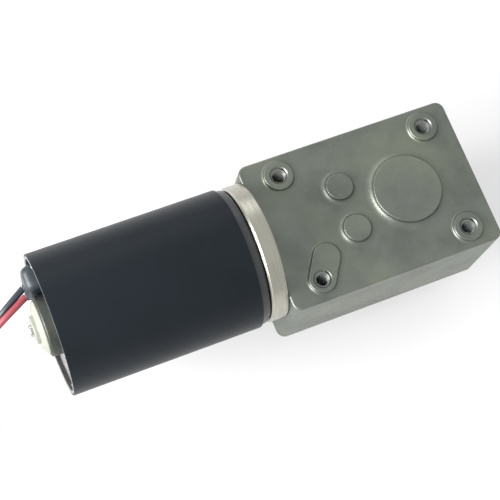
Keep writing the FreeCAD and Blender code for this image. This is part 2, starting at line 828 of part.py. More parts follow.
def output_shaft():
    bevel = 0.5
    clip_low = output_clip_base() - 0.05
    clip_high = clip_low + dim.circlip_thickness + 0.1
    groove = dim.journal_radius - dim.circlip_groove
    body = turned("output_shaft", [
        (-dim.shaft_reach, 0),
        (-dim.shaft_reach, dim.shaft_radius - bevel),
        (-dim.shaft_reach + bevel, dim.shaft_radius),
        (-dim.pilot_height, dim.shaft_radius),
        (-dim.pilot_height, dim.journal_radius),
        (clip_low, dim.journal_radius),
        (clip_low, groove),
        (clip_high, groove),
        (clip_high, dim.journal_radius),
        (dim.journal_top, dim.journal_radius),
        (dim.journal_top, dim.shaft_radius),
        (dim.shaft_top - bevel, dim.shaft_radius),
        (dim.shaft_top, dim.shaft_radius - bevel),
        (dim.shaft_top, 0),
    ], along="Z")
    sketch = new_sketch(body, "XY_Plane", -dim.shaft_reach)
    draw_box(sketch, dim.flat_height, dim.shaft_radius + 1, -dim.shaft_radius - 1, dim.shaft_radius + 1)
    pocket(body, sketch, dim.flat_length)


def output_clip_base():
    return dim.output_gear_base + dim.output_gear_width + dim.output_hub_height + 0.1


def mesh_angle():
    """The direction from the second pin to the output shaft."""
    return math.atan2(-dim.second_pin_y.number, -dim.pins_x.number)


def output_gear():
    teeth = dim.output_gear_teeth.number
    width = dim.output_gear_width.number
    bore = (dim.journal_radius + dim.fit_gap).number
    gap_first = mesh_angle() + math.pi + math.pi / teeth
    gear = spur_gear(dim.output_gear_module.number, teeth, width, bore, gap_first)
    hub_height = dim.output_hub_height.number
    hub = Part.makeCylinder(dim.output_hub_radius.number, hub_height, FreeCAD.Vector(0, 0, width))
    hub = hub.cut(Part.makeCylinder(bore, hub_height, FreeCAD.Vector(0, 0, width)))
    plain_shape("output_gear", gear.fuse(hub).removeSplitter(), 0, 0, dim.output_gear_base)


def open_ring(label, base, thickness, inner, outer, gap):
    """A retaining ring round a shaft, open on its -X side."""
    body = tube(label, base, base + thickness, inner, outer, along="Z")
    sketch = new_sketch(body, "XY_Plane", base)
    draw_box(sketch, -outer - 1, 0, -gap, gap)
    pocket(body, sketch, thickness)
    return body


def output_line():
    output_shaft()
    output_gear()
    groove = dim.journal_radius - dim.circlip_groove
    open_ring("output_circlip", output_clip_base(), dim.circlip_thickness, groove + dim.fit_gap,
              dim.circlip_radius, 1.2)
    washer_base = dim.cover_thickness + dim.cover_hub_height + 0.05
    tube("output_washer", washer_base, washer_base + dim.washer_thickness,
         dim.journal_radius + dim.running_gap, dim.output_hub_radius, along="Z")
    tube("output_front_bush", -dim.pilot_height + 0.2, dim.cover_thickness + dim.cover_hub_height,
         dim.journal_radius + dim.running_gap, dim.front_bush_radius, along="Z")
    tube("output_rear_bush", cavity_top - dim.inner_boss_height, dim.pin_top,
         dim.shaft_radius + dim.running_gap, dim.rear_bush_radius, along="Z")


# ---- worm, worm wheel and second gear --------------------------------------------------------------------

def gear_pins():
    first = turned("first_gear_pin", [
        (dim.pin_base, 0), (dim.pin_base, dim.pin_radius), (dim.pin_top, dim.pin_radius), (dim.pin_top, 0),
    ], along="Z")
    put(first, dim.pins_x, dim.first_pin_y, 0)
    low = dim.pin_clip_base - 0.05
    high = low + dim.pin_clip_thickness + 0.1
    groove = dim.pin_radius - 0.25
    second = turned("second_gear_pin", [
        (dim.pin_base, 0), (dim.pin_base, dim.pin_radius), (low, dim.pin_radius), (low, groove),
        (high, groove), (high, dim.pin_radius), (dim.pin_top, dim.pin_radius), (dim.pin_top, 0),
    ], along="Z")
    put(second, dim.pins_x, dim.second_pin_y, 0)
    clip = open_ring("pin_clip", dim.pin_clip_base, dim.pin_clip_thickness, groove + dim.fit_gap,
                     dim.pin_clip_radius, 0.9)
    put(clip, dim.pins_x, dim.second_pin_y, 0)


def stepped_pinion(label, steps, bore, y):
    """A pinion with plain hubs: steps are (base, top, shape or radius) from the bottom up."""
    solid = None
    for base, top, outer in steps:
        if isinstance(outer, Size):
            piece = Part.makeCylinder(number_of(outer), number_of(top) - number_of(base))
        else:
            piece = outer
        piece.translate(FreeCAD.Vector(0, 0, number_of(base)))
        solid = piece if solid is None else solid.fuse(piece)
    height = number_of(steps[-1][1])
    solid = solid.cut(Part.makeCylinder(bore, height)).removeSplitter()
    plain_shape(label, solid, dim.pins_x, y, 0)


def worm_and_wheel():
    lead = math.pi * dim.worm_module.number
    to_x_axis = FreeCAD.Rotation(FreeCAD.Vector(1, 1, 1), 120)
    worm = worm_shape(dim.worm_module.number, dim.worm_pitch_radius.number, dim.worm_length.number,
                      (dim.worm_seat_radius + dim.fit_gap).number)
    plain_shape("worm", worm, dim.pins_x, 0, dim.axis_height, to_x_axis)
    teeth = dim.worm_wheel_teeth.number
    gap_first = -math.pi / 2 + math.pi / teeth
    wheel = worm_wheel_shape(dim.worm_module.number, teeth, dim.worm_wheel_width.number,
                             (dim.pinion_hub_radius + dim.fit_gap).number, lead, gap_first)
    plain_shape("worm_wheel", wheel, dim.pins_x, dim.first_pin_y, dim.axis_height)


def pinions_and_second_gear():
    bore = (dim.pin_radius + dim.running_gap).number
    solid_bore = 0.5
    module = dim.gear_module.number
    wheel_low = dim.axis_height - dim.worm_wheel_width / 2
    wheel_high = dim.axis_height + dim.worm_wheel_width / 2
    teeth_length = (wheel_low - dim.first_pinion_base).number
    first = spur_gear(module, dim.first_pinion_teeth.number, teeth_length, solid_bore, -math.pi / 2)
    stepped_pinion("first_pinion", [
        (dim.gear_foot, dim.first_pinion_base, dim.pinion_hub_radius),
        (dim.first_pinion_base, wheel_low, first),
        (wheel_low, wheel_high + 0.2, dim.pinion_hub_radius),
    ], bore, dim.first_pin_y)
    second_length = (dim.second_gear_base - dim.pinion_base).number
    second = spur_gear(dim.output_gear_module.number, dim.second_pinion_teeth.number, second_length,
                       solid_bore, mesh_angle())
    gear_top = dim.second_gear_base + dim.second_gear_width
    stepped_pinion("second_pinion", [
        (dim.gear_foot, dim.pinion_base, dim.second_hub_radius),
        (dim.pinion_base, dim.second_gear_base, second),
        (dim.second_gear_base, gear_top + 0.1, dim.second_hub_radius),
    ], bore, dim.second_pin_y)
    teeth = dim.second_gear_teeth.number
    gear = spur_gear(module, teeth, dim.second_gear_width.number,
                     (dim.second_hub_radius + dim.fit_gap).number, math.pi / 2 + math.pi / teeth)
    plain_shape("second_gear", gear, dim.pins_x, dim.second_pin_y, dim.second_gear_base)


# ---- adapter ring between gearbox and motor --------------------------------------------------------------

def adapter_ring():
    edge = dim.ring_chamfer
    body = turned("adapter_ring", [
        (ring_back, dim.ring_bore), (ring_back, dim.ring_radius - edge), (ring_back + edge, dim.ring_radius),
        (motor_end - 0.2, dim.ring_radius), (motor_end, dim.ring_radius - 0.2), (motor_end, dim.ring_bore),
    ])
    sketch = new_sketch(body, "YZ_Plane", motor_end)
    for y, rise in flange_screw_places():
        draw_circle(sketch, y, rise, dim.flange_screw_radius + dim.fit_gap)
    pocket(body, sketch, dim.flange_screw_length - dim.end_wall + 0.5, backwards=True)
    sketch = new_sketch(body, "YZ_Plane", ring_back)
    for sign in (-1, 1):
        draw_circle(sketch, 0, sign * dim.motor_screw_rise, dim.flange_screw_radius + dim.cover_gap)
    drilled = pocket(body, sketch, dim.ring_width)
    chamfer = body.newObject("PartDesign::Chamfer", "Chamfer")
    mouths = [
        f"Edge{i + 1}" for i, item in enumerate(drilled.Shape.Edges)
        if is_round(item, dim.flange_screw_radius + dim.cover_gap)
        and abs(item.BoundBox.XMax - number_of(motor_end)) < 1e-4
    ]
    chamfer.Base = (drilled, mouths)
    bind(chamfer, "Size", dim.flange_head_radius - dim.flange_screw_radius)
    document.recompute()
    put(body, 0, 0, dim.axis_height)


def flange_screws():
    """Pan-head screws from inside the gearbox into the adapter ring."""
    screws = []
    head_face = motor_end + dim.end_wall
    top = head_face + dim.flange_head_height
    for y, rise in flange_screw_places():
        screw = turned("flange_screw", [
            (head_face - dim.flange_screw_length, 0),
            (head_face - dim.flange_screw_length, dim.flange_screw_radius),
            (head_face, dim.flange_screw_radius),
            (head_face, dim.flange_head_radius),
            (top - 0.4, dim.flange_head_radius),
            (top, dim.flange_head_radius - 0.6),
            (top, 0),
        ])
        cross_slot(screw, "YZ_Plane", top - dim.slot_depth, dim.slot_depth)
        put(screw, 0, y, dim.axis_height + rise)
        screws.append(screw)
    group("flange_screws", screws)


def motor_screws():
    """Countersunk screws through the adapter ring into the front of the can."""
    screws = []
    face = motor_end - 0.05
    cone = dim.flange_head_radius - dim.flange_screw_radius
    for sign in (-1, 1):
        screw = turned("motor_screw", [
            (ring_back - 2.5, 0),
            (ring_back - 2.5, dim.flange_screw_radius),
            (face - cone, dim.flange_screw_radius),
            (face, dim.flange_head_radius - 0.05),
            (face, 0),
        ])
        cross_slot(screw, "YZ_Plane", face - dim.slot_depth, dim.slot_depth)
        put(screw, 0, 0, dim.axis_height + sign * dim.motor_screw_rise)
        screws.append(screw)
    group("motor_screws", screws)


# ---- motor -----------------------------------------------------------------------------------------------

def motor_can():
    """A drawn can. Behind the rear plate its edge is thinned to a lip, which is staked over the plate."""
    inside = dim.can_radius - dim.can_wall
    bearing_back = ring_back + dim.front_boss_length - 1.2
    body = turned("motor_can", [
        (plate_back, inside),
        (plate_back, dim.can_radius - dim.can_lip),
        (can_rear, dim.can_radius - dim.can_lip),
        (can_rear, dim.can_radius),
        (ring_back - dim.can_shoulder, dim.can_radius),
        (ring_back - dim.can_shoulder / 4, dim.can_radius - dim.can_shoulder / 4),
        (ring_back, dim.can_radius - dim.can_shoulder),
        (ring_back, dim.front_boss_radius),
        (ring_back + dim.front_boss_length, dim.front_boss_radius),
        (ring_back + dim.front_boss_length, dim.armature_radius + 0.4),
        (bearing_back, dim.armature_radius + 0.4),
        (bearing_back, dim.bearing_radius),
        (ring_back - dim.can_wall, dim.bearing_radius),
        (ring_back - dim.can_wall, inside),
    ])
    sketch = new_sketch(body, "YZ_Plane", ring_back - dim.can_wall)
    for sign in (-1, 1):
        draw_circle(sketch, 0, sign * dim.motor_screw_rise, dim.flange_screw_radius + dim.fit_gap)
    pocket(body, sketch, dim.can_wall)
    put(body, 0, 0, dim.axis_height)


def motor_shell_pieces():
    sleeve = turned("motor_sleeve", [
        (can_rear, dim.can_radius + dim.fit_gap),
        (can_rear, dim.sleeve_radius - 0.15),
        (can_rear + 0.15, dim.sleeve_radius),
        (ring_back - dim.sleeve_start - 0.15, dim.sleeve_radius),
        (ring_back - dim.sleeve_start, dim.sleeve_radius - 0.15),
        (ring_back - dim.sleeve_start, dim.can_radius + dim.fit_gap),
    ])
    put(sleeve, 0, 0, dim.axis_height)
    lip = dim.armature_radius + 1.5
    inside = dim.hub_radius - dim.hub_wall
    plate = turned("end_plate", [
        (plate_face, dim.hub_radius),
        (plate_face, dim.can_radius - dim.can_lip - dim.fit_gap),
        (plate_back, dim.can_radius - dim.can_lip - dim.fit_gap),
        (plate_back, inside),
        (hub_end + 0.8, inside),
        (hub_end + 0.8, lip),
        (hub_end, lip),
        (hub_end, dim.hub_radius),
    ])
    sketch = new_sketch(plate, "YZ_Plane", plate_face)
    rise = dim.grommet_z - dim.axis_height
    draw_box(sketch, dim.grommet_y - dim.neck_half_width, dim.grommet_y + dim.neck_half_width,
             rise - dim.neck_half_height, rise + dim.neck_half_height)
    pocket(plate, sketch, dim.plate_thickness)
    put(plate, 0, 0, dim.axis_height)
    cone_face = hub_end - dim.cap_rim - dim.cap_cone
    cap = turned("rear_cap", [
        (hub_end, dim.rear_shaft_radius + 0.15),
        (hub_end, dim.cap_radius),
        (hub_end - dim.cap_rim, dim.cap_radius),
        (cone_face, dim.cap_cone_radius),
        (cone_face, dim.cap_nose_radius),
        (cap_end + 0.3, dim.cap_nose_radius),
        (cap_end, dim.cap_nose_radius - 0.3),
        (cap_end, dim.rear_shaft_radius + 0.15),
    ])
    put(cap, 0, 0, dim.axis_height)


def motor_bearings():
    front_back = ring_back + dim.front_boss_length - 1.2
    front = tube("motor_front_bush", front_back - dim.bearing_width, front_back,
                 dim.armature_radius + dim.running_gap, dim.bearing_radius - dim.fit_gap)
    put(front, 0, 0, dim.axis_height)
    rear_face = hub_end + 0.8
    rear = tube("motor_rear_bush", rear_face, rear_face + dim.bearing_width - 0.4,
                dim.rear_shaft_radius + dim.running_gap, dim.hub_radius - dim.hub_wall - dim.fit_gap)
    put(rear, 0, 0, dim.axis_height)
    tail = tube("worm_tail_bush", dim.web_start, dim.web_end, dim.worm_seat_radius + dim.running_gap,
                dim.tail_bush_radius)
    put(tail, 0, 0, dim.axis_height)


def magnets():
    """Two curved ferrite magnets, glued to the inside of the can, and the two springs between them."""
    start = dim.core_middle - dim.magnet_length / 2
    outer = dim.can_radius - dim.can_wall - dim.fit_gap
    arcs = []
    clips = []
    for turn in (0, 180):
        arcs.append(arc_piece("magnet", start, dim.magnet_length, dim.magnet_inner, outer,
                              dim.magnet_half_angle * 2, turn))
        clips.append(arc_piece("magnet_spring", start + 2, dim.magnet_length - 4,
                               outer - dim.clip_thickness, outer, 180 - dim.magnet_half_angle * 2 - 1,
                               turn + 90))
    group("magnets", arcs)
    group("magnet_springs", clips)


def arc_piece(label, start, length, inner, outer, angle, turn):
    body = new_body(label)
    sketch = new_sketch(body, "XZ_Plane")
    draw_box(sketch, start, start + length, inner, outer)
    feature = body.newObject("PartDesign::Revolution", "Revolution")
    feature.Profile = sketch
    feature.ReferenceAxis = (sketch, ["H_Axis"])
    feature.Midplane = True
    bind(feature, "Angle", angle)
    finished(body, feature, grows=True)
    put(body, 0, 0, dim.axis_height, FreeCAD.Rotation(FreeCAD.Vector(1, 0, 0), turn + 90))
    return body


def armature_shaft():
    step = dim.core_middle - dim.core_length / 2 - 10
    seat = dim.pins_x - dim.worm_length / 2 - 0.4
    tail = dim.web_end - 0.4
    end = cap_end - dim.rear_shaft_reach
    body = turned("armature_shaft", [
        (end, 0),
        (end, dim.rear_shaft_radius - 0.2),
        (end + 0.2, dim.rear_shaft_radius),
        (step, dim.rear_shaft_radius),
        (step, dim.armature_radius),
        (seat - 0.4, dim.armature_radius),
        (seat, dim.armature_radius - 0.4),
        (seat, dim.worm_seat_radius),
        (tail, dim.worm_seat_radius),
        (tail, 0),
    ])
    put(body, 0, 0, dim.axis_height)


def armature_core():
    """Stacked laminations: a round section with slots between T-shaped teeth."""
    body = new_body("armature_core")
    start = dim.core_middle - dim.core_length / 2
    sketch = new_sketch(body, "YZ_Plane", start)
    draw_circle(sketch, 0, 0, dim.core_radius)
    draw_circle(sketch, 0, 0, dim.armature_radius + dim.fit_gap)
    pad(body, sketch, dim.core_length)
    half_step = math.pi / ARMATURE_SLOTS
    neck = dim.tooth_neck / 2
    mouth = dim.slot_mouth / 2

    def along_neck(distance):
        across = distance * math.cos(half_step) + neck * math.sin(half_step)
        aside = distance * math.sin(half_step) - neck * math.cos(half_step)
        return across, aside

    foot_u, foot_v = along_neck(dim.coil_inner - 0.3)
    shoulder_u, shoulder_v = along_neck(dim.coil_outer + 0.6)
    lip = dim.core_radius - 1.7
    sketch = new_sketch(body, "YZ_Plane", start)
    draw_outline(sketch, [
        (dim.core_radius + 1, -mouth), (dim.core_radius + 1, mouth), (lip, mouth), (shoulder_u, shoulder_v),
        (foot_u, foot_v), (foot_u, -foot_v), (shoulder_u, -shoulder_v), (lip, -mouth),
    ])
    slot = pocket(body, sketch, dim.core_length)
    pattern = body.newObject("PartDesign::PolarPattern", "PolarPattern")
    pattern.Originals = [slot]
    pattern.Axis = (next(item for item in body.Origin.OriginFeatures if item.Role == "X_Axis"), [""])
    pattern.Angle = 360
    pattern.Occurrences = ARMATURE_SLOTS
    body.Tip = pattern
    document.recompute()
    put(body, 0, 0, dim.axis_height)


def armature_windings():
    """A coil of copper round the neck of each tooth."""
    coils = []
    start = dim.core_middle - dim.core_length / 2
    for index in range(ARMATURE_SLOTS):
        turn = 180 / ARMATURE_SLOTS + 360 / ARMATURE_SLOTS * index
        outer = document.addObject("Part::Box", "CoilOuter")
        inner = document.addObject("Part::Box", "CoilInner")
        for box, side, overhang in ((outer, dim.coil_side, dim.coil_overhang), (inner, 0.05, 0.05)):
            bind(box, "Length", dim.core_length + 2 * overhang)
            bind(box, "Width", dim.coil_outer - dim.coil_inner)
            bind(box, "Height", dim.tooth_neck + 2 * side)
            put(box, start - overhang, dim.coil_inner, -dim.tooth_neck / 2 - side)
        coil = document.addObject("Part::Cut", "Coil")
        coil.Base = outer
        coil.Tool = inner
        put(coil, 0, 0, dim.axis_height, FreeCAD.Rotation(FreeCAD.Vector(1, 0, 0), turn))
        coils.append(coil)
    group("armature_windings", coils)


def commutator():
    start = dim.core_middle - dim.core_length / 2 - 9
    body = tube("commutator", start, start + dim.commutator_length, dim.armature_radius + dim.fit_gap,
                dim.commutator_radius)
    sketch = new_sketch(body, "YZ_Plane", start)
    draw_box(sketch, dim.commutator_radius - 0.7, dim.commutator_radius + 1, -0.25, 0.25)
    slot = pocket(body, sketch, dim.commutator_length)
    pattern = body.newObject("PartDesign::PolarPattern", "PolarPattern")
    pattern.Originals = [slot]
    pattern.Axis = (next(item for item in body.Origin.OriginFeatures if item.Role == "X_Axis"), [""])
    pattern.Angle = 360
    pattern.Occurrences = ARMATURE_SLOTS
    body.Tip = pattern
    document.recompute()
    put(body, 0, 0, dim.axis_height)


def armature_washers():
    """Fibre washers that keep the armature between its bushes."""
    rear = hub_end + 0.8 + dim.bearing_width - 0.3
    front = ring_back + dim.front_boss_length - 1.2 - dim.bearing_width - 0.6
    washers = [
        tube("rear_washer", rear, rear + 0.5, dim.rear_shaft_radius + dim.fit_gap, dim.spacer_radius),
        tube("front_washer", front, front + 0.5, dim.armature_radius + dim.fit_gap, dim.spacer_radius),
    ]
    for washer in washers:
        put(washer, 0, 0, dim.axis_height)
    group("armature_washers", washers)


def brush_gear():
    """A nylon holder with two carbon brushes on brass arms, which press on the commutator."""
    holder_back = plate_back + 0.05 + dim.holder_thickness
    holder = tube("brush_holder", plate_back + 0.05, holder_back, 8.0,
                  dim.can_radius - dim.can_wall - dim.fit_gap)
    put(holder, 0, 0, dim.axis_height)
    commutator_start = dim.core_middle - dim.core_length / 2 - 9
    brush_start = commutator_start + (dim.commutator_length - dim.brush_width) / 2
    brush_foot = dim.commutator_radius + 0.05
    arm_foot = brush_foot + dim.brush_length
    brushes = []
    arms = []
    for turn in (0, 180):
        rotation = FreeCAD.Rotation(FreeCAD.Vector(1, 0, 0), turn)
        for items, name, start, length, foot, width, height in (
            (brushes, "brush", brush_start, dim.brush_width, brush_foot, dim.brush_length,
             dim.brush_height),
            (arms, "brush_arm", holder_back, brush_start + dim.brush_width - holder_back, arm_foot,
             dim.brush_arm_thickness, dim.brush_height),
        ):
            box = document.addObject("Part::Box", name)
            bind(box, "Length", length)
            bind(box, "Width", width)
            bind(box, "Height", height)
            put(box, start, foot, -height / 2)
            holder_of_box = document.addObject("Part::Compound", name)
            holder_of_box.Links = [box]
            put(holder_of_box, 0, 0, dim.axis_height, rotation)
            items.append(holder_of_box)
    group("brushes", brushes)
    group("brush_arms", arms)


# ---- leads -----------------------------------------------------------------------------------------------

def lead_grommet():
    """A moulded boot that the leads leave the end plate through, with a neck in the plate's slot."""
    body = new_body("lead_grommet")
    rise = dim.grommet_z - dim.axis_height
    outer_face = plate_face - dim.grommet_reach
    sketch = new_sketch(body, "YZ_Plane", outer_face)
    draw_box(sketch, dim.grommet_y - dim.grommet_half_width, dim.grommet_y + dim.grommet_half_width,
             rise - dim.grommet_half_height, rise + dim.grommet_half_height)
    block = pad(body, sketch, dim.grommet_reach)
    inner_x = number_of(plate_face)
    round_edges(body, block, dim.grommet_round, lambda edge: edge.BoundBox.XMin < inner_x - 1e-3)
    sketch = new_sketch(body, "YZ_Plane", outer_face)
    draw_circle(sketch, 0, 0, dim.hub_radius + 0.05)
    pocket(body, sketch, dim.grommet_reach)
    sketch = new_sketch(body, "YZ_Plane", plate_face)
    inset = dim.fit_gap
    draw_box(sketch, dim.grommet_y - dim.neck_half_width + inset, dim.grommet_y + dim.neck_half_width - inset,
             rise - dim.neck_half_height + inset, rise + dim.neck_half_height - inset)
    pad(body, sketch, dim.plate_thickness)
    put(body, 0, 0, dim.axis_height)


# The routes from the grommet to where each lead joins its coil, in millimetres. The leads leave side
# by side and droop to the surface, where the red one comes to lie on the black one.
RED_ROUTE = [
    (-98.95, 9.8, 15.0),
    (-103.5, 7.5, 14.4),
    (-108.4, 5.5, 11.7),
    (-112.4, 4.2, 6.6),
    (-114.9, 3.6, -0.1),
    (-116.6, 3.3, -6.3),
    (-120.0, 3.1, -11.2),
    (-124.6, 3.05, -13.2),
    (-128.6, 2.95, -13.4),
]
BLACK_ROUTE = [
    (-98.95, 12.05, 15.0),
    (-103.2, 9.7, 14.0),
    (-107.7, 7.4, 10.95),
    (-110.9, 5.6, 5.8),
    (-112.9, 4.2, -0.9),
    (-114.7, 3.4, -7.3),
    (-118.6, 3.0, -12.7),
    (-123.6, 2.95, -15.1),
    (-128.6, 2.95, -15.25),
]


def lead_path(route):
    """Straight runs joined by tangent arcs as large as the runs allow, and the arcs' radii."""
    points = [FreeCAD.Vector(*point) for point in route]
    edges = []
    radii = []
    here = points[0]
    for before, corner, after in zip(points, points[1:], points[2:]):
        incoming = (corner - before).normalize()
        outgoing = (after - corner).normalize()
        turn = incoming.getAngle(outgoing)
        setback = 0.45 * min(before.distanceToPoint(corner), corner.distanceToPoint(after))
        radius = setback / math.tan(turn / 2)
        radii.append(radius)
        start = corner - incoming * setback
        end = corner + outgoing * setback
        towards = (outgoing - incoming).normalize()
        middle = corner + towards * (radius / math.cos(turn / 2) - radius)
        edges.append(Part.LineSegment(here, start).toShape())
        edges.append(Part.Arc(start, middle, end).toShape())
        here = end
    edges.append(Part.LineSegment(here, points[-1]).toShape())
    return Part.Wire(edges), radii


def lead(label, route):
    path, radii = lead_path(route)
    radius = dim.lead_radius.number
    first = path.Edges[0]
    direction = first.tangentAt(first.FirstParameter)
    section = Part.Wire(Part.makeCircle(radius, FreeCAD.Vector(*route[0]), direction))
    solid = path.makePipeShell([section], True, False)
    expected = math.pi * radius ** 2 * path.Length
    print(f"{label}: arc radii {[round(value, 1) for value in radii]}, length {path.Length:.1f}, "
          f"volume {solid.Volume:.2f} against {expected:.2f}")
    plain_shape(label, solid)


def lead_coil(label, low):
    """The outer shape of the spare length, wound flat."""
    coil = tube(label, low, low + dim.lead_layer, dim.coil_inside_radius, dim.coil_outside_radius,
                along="Z")
    put(coil, dim.coil_x, dim.coil_y, 0)


def strand_end(label, height, angle):
    """The bare tinned end of a lead, inside the coil, pointing a little inwards from the winding."""
    inwards = angle + math.pi / 2 + math.radians(35)
    radius = dim.lead_tail_radius.number
    start = FreeCAD.Vector(radius * math.cos(angle), radius * math.sin(angle), 0)
    direction = FreeCAD.Vector(math.cos(inwards), math.sin(inwards), 0)
    strand = Part.makeCylinder(dim.strand_radius.number, dim.strand_length.number, start, direction)
    plain_shape(label, strand, dim.coil_x, dim.coil_y, height)


def lead_tie():
    """A band round the section of both coils."""
    across = dim.coil_outside_radius - dim.coil_inside_radius + dim.tie_slack
    outer = document.addObject("Part::Box", "TieOuter")
    inner = document.addObject("Part::Box", "TieInner")
    for box, margin in ((outer, dim.tie_thickness), (inner, 0)):
        bind(box, "Length", dim.tie_width)
        bind(box, "Width", across + 2 * margin)
        bind(box, "Height", 2 * dim.lead_layer + 2 * margin)
        put(box, -dim.tie_width / 2, -dim.coil_outside_radius - margin, floor + dim.tie_thickness - margin)
    tie = document.addObject("Part::Cut", "lead_tie")
    tie.Label = "lead_tie"
    tie.Base = outer
    tie.Tool = inner
    put(tie, dim.coil_x, dim.coil_y, 0)


def leads():
    lead_grommet()
    lead("red_lead", RED_ROUTE)
    lead("black_lead", BLACK_ROUTE)
    black_low = floor + dim.tie_thickness
    red_low = black_low + dim.lead_layer
    lead_coil("black_lead_coil", black_low)
    lead_coil("red_lead_coil", red_low)
    strand_end("black_lead_end", black_low + dim.lead_layer / 2, math.radians(125))
    strand_end("red_lead_end", red_low + dim.lead_layer / 2, math.radians(125))
    lead_tie()


# ---- the whole motor -------------------------------------------------------------------------------------

NODES = [
    "gearbox_housing", "gearbox_cover", "cover_screws",
    "output_shaft", "output_gear", "output_circlip", "output_washer", "output_front_bush",
    "output_rear_bush", "first_gear_pin", "second_gear_pin", "pin_clip", "worm", "worm_wheel",
    "first_pinion", "second_gear", "second_pinion", "worm_tail_bush",
    "adapter_ring", "flange_screws", "motor_screws",
    "motor_can", "motor_sleeve", "end_plate", "rear_cap", "motor_front_bush", "motor_rear_bush",
    "magnets", "magnet_springs", "armature_shaft", "armature_core", "armature_windings", "commutator",
    "armature_washers", "brush_holder", "brushes", "brush_arms",
    "lead_grommet", "red_lead", "black_lead", "red_lead_coil", "black_lead_coil", "red_lead_end",
    "black_lead_end", "lead_tie",
]


def build():
    gearbox_housing()
    gearbox_cover()
    cover_screws()
    output_line()
    gear_pins()
    worm_and_wheel()
    pinions_and_second_gear()
    adapter_ring()
    flange_screws()
    motor_screws()
    motor_can()
    motor_shell_pieces()
    motor_bearings()
    magnets()
    armature_shaft()
    armature_core()
    armature_windings()
    commutator()
    armature_washers()
    brush_gear()
    leads()
    document.recompute()


def export():
    for item in document.Objects:
        if {"Invalid", "Error"} & set(item.State):
            raise RuntimeError(f"{item.Label} ({item.Name}) is {item.State}")
    os.makedirs("parts", exist_ok=True)
    for node in NODES:
        item = document.getObjectsByLabel(node)[0]
        shape = item.Shape
        if shape.isNull() or not shape.isValid():
            raise RuntimeError(f"{node} has no valid shape")
        shape.exportStep(f"parts/{node}.step")
        print(f"{node}: {len(shape.Solids)} solid(s), {shape.Volume:.1f} mm3")


build()
export()
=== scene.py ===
import json
import math

import bmesh
import bpy
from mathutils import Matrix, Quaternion, Vector


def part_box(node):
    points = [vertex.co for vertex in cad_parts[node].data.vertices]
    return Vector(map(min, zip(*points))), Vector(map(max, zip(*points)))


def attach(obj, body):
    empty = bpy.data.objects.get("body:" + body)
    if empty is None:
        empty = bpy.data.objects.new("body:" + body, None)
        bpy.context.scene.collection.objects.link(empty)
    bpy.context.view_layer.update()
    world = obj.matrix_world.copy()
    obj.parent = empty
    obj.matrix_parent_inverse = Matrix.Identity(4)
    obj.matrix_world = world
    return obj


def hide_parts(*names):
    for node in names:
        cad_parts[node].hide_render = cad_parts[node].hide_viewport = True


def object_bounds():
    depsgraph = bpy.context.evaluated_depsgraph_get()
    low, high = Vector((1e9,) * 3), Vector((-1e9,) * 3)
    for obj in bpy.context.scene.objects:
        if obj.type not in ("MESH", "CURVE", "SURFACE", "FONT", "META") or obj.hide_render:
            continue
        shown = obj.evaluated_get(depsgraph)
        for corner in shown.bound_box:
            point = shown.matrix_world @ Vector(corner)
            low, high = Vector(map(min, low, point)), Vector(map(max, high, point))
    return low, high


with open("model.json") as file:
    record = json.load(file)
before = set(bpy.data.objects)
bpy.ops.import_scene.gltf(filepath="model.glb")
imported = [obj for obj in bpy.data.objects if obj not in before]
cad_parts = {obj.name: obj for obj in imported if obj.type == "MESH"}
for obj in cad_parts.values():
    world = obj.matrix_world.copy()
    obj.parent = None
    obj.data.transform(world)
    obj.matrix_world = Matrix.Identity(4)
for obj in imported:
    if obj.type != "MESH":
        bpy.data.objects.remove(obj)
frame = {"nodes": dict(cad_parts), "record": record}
cad_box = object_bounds()

# A worm-geared DC motor. Metres, in the CAD frame: +Z is the blind face of the gearbox and +X points away
# from the motor. Sizes below are in millimetres where they are multiplied by MM.

MM = 0.001
FULL_TURN = 2 * math.pi
SMOOTH_SIDES = 160
motor = "motor"


def span(node):
    """Lowest and highest corner of a CAD node, in millimetres."""
    low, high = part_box(node)
    return low / MM, high / MM


def point(x, y, z):
    return Vector((x, y, z)) * MM


can_low, can_high = span("motor_can")
axis_height = (can_low.z + can_high.z) / 2
floor_height = cad_box[0].z


# ---- camera ----------------------------------------------------------------------------------------------

def make_camera():
    """From above the motor's rear end, rolled so that the motor runs down to the left."""
    eye = point(-122.1, -82.0, 354.7)
    target = point(-42.0, 1.0, 18.75)
    roll = math.radians(22.98)
    data = bpy.data.cameras.new("camera")
    data.lens = 100
    data.sensor_width = 36
    data.clip_start = 0.01
    data.clip_end = 20
    camera = bpy.data.objects.new("camera", data)
    bpy.context.scene.collection.objects.link(camera)
    camera.rotation_mode = "QUATERNION"
    camera.location = eye
    facing = (target - eye).to_track_quat("-Z", "Y")
    camera.rotation_quaternion = facing @ Quaternion((0, 0, 1), roll)
    bpy.context.scene.camera = camera


# ---- materials -------------------------------------------------------------------------------------------

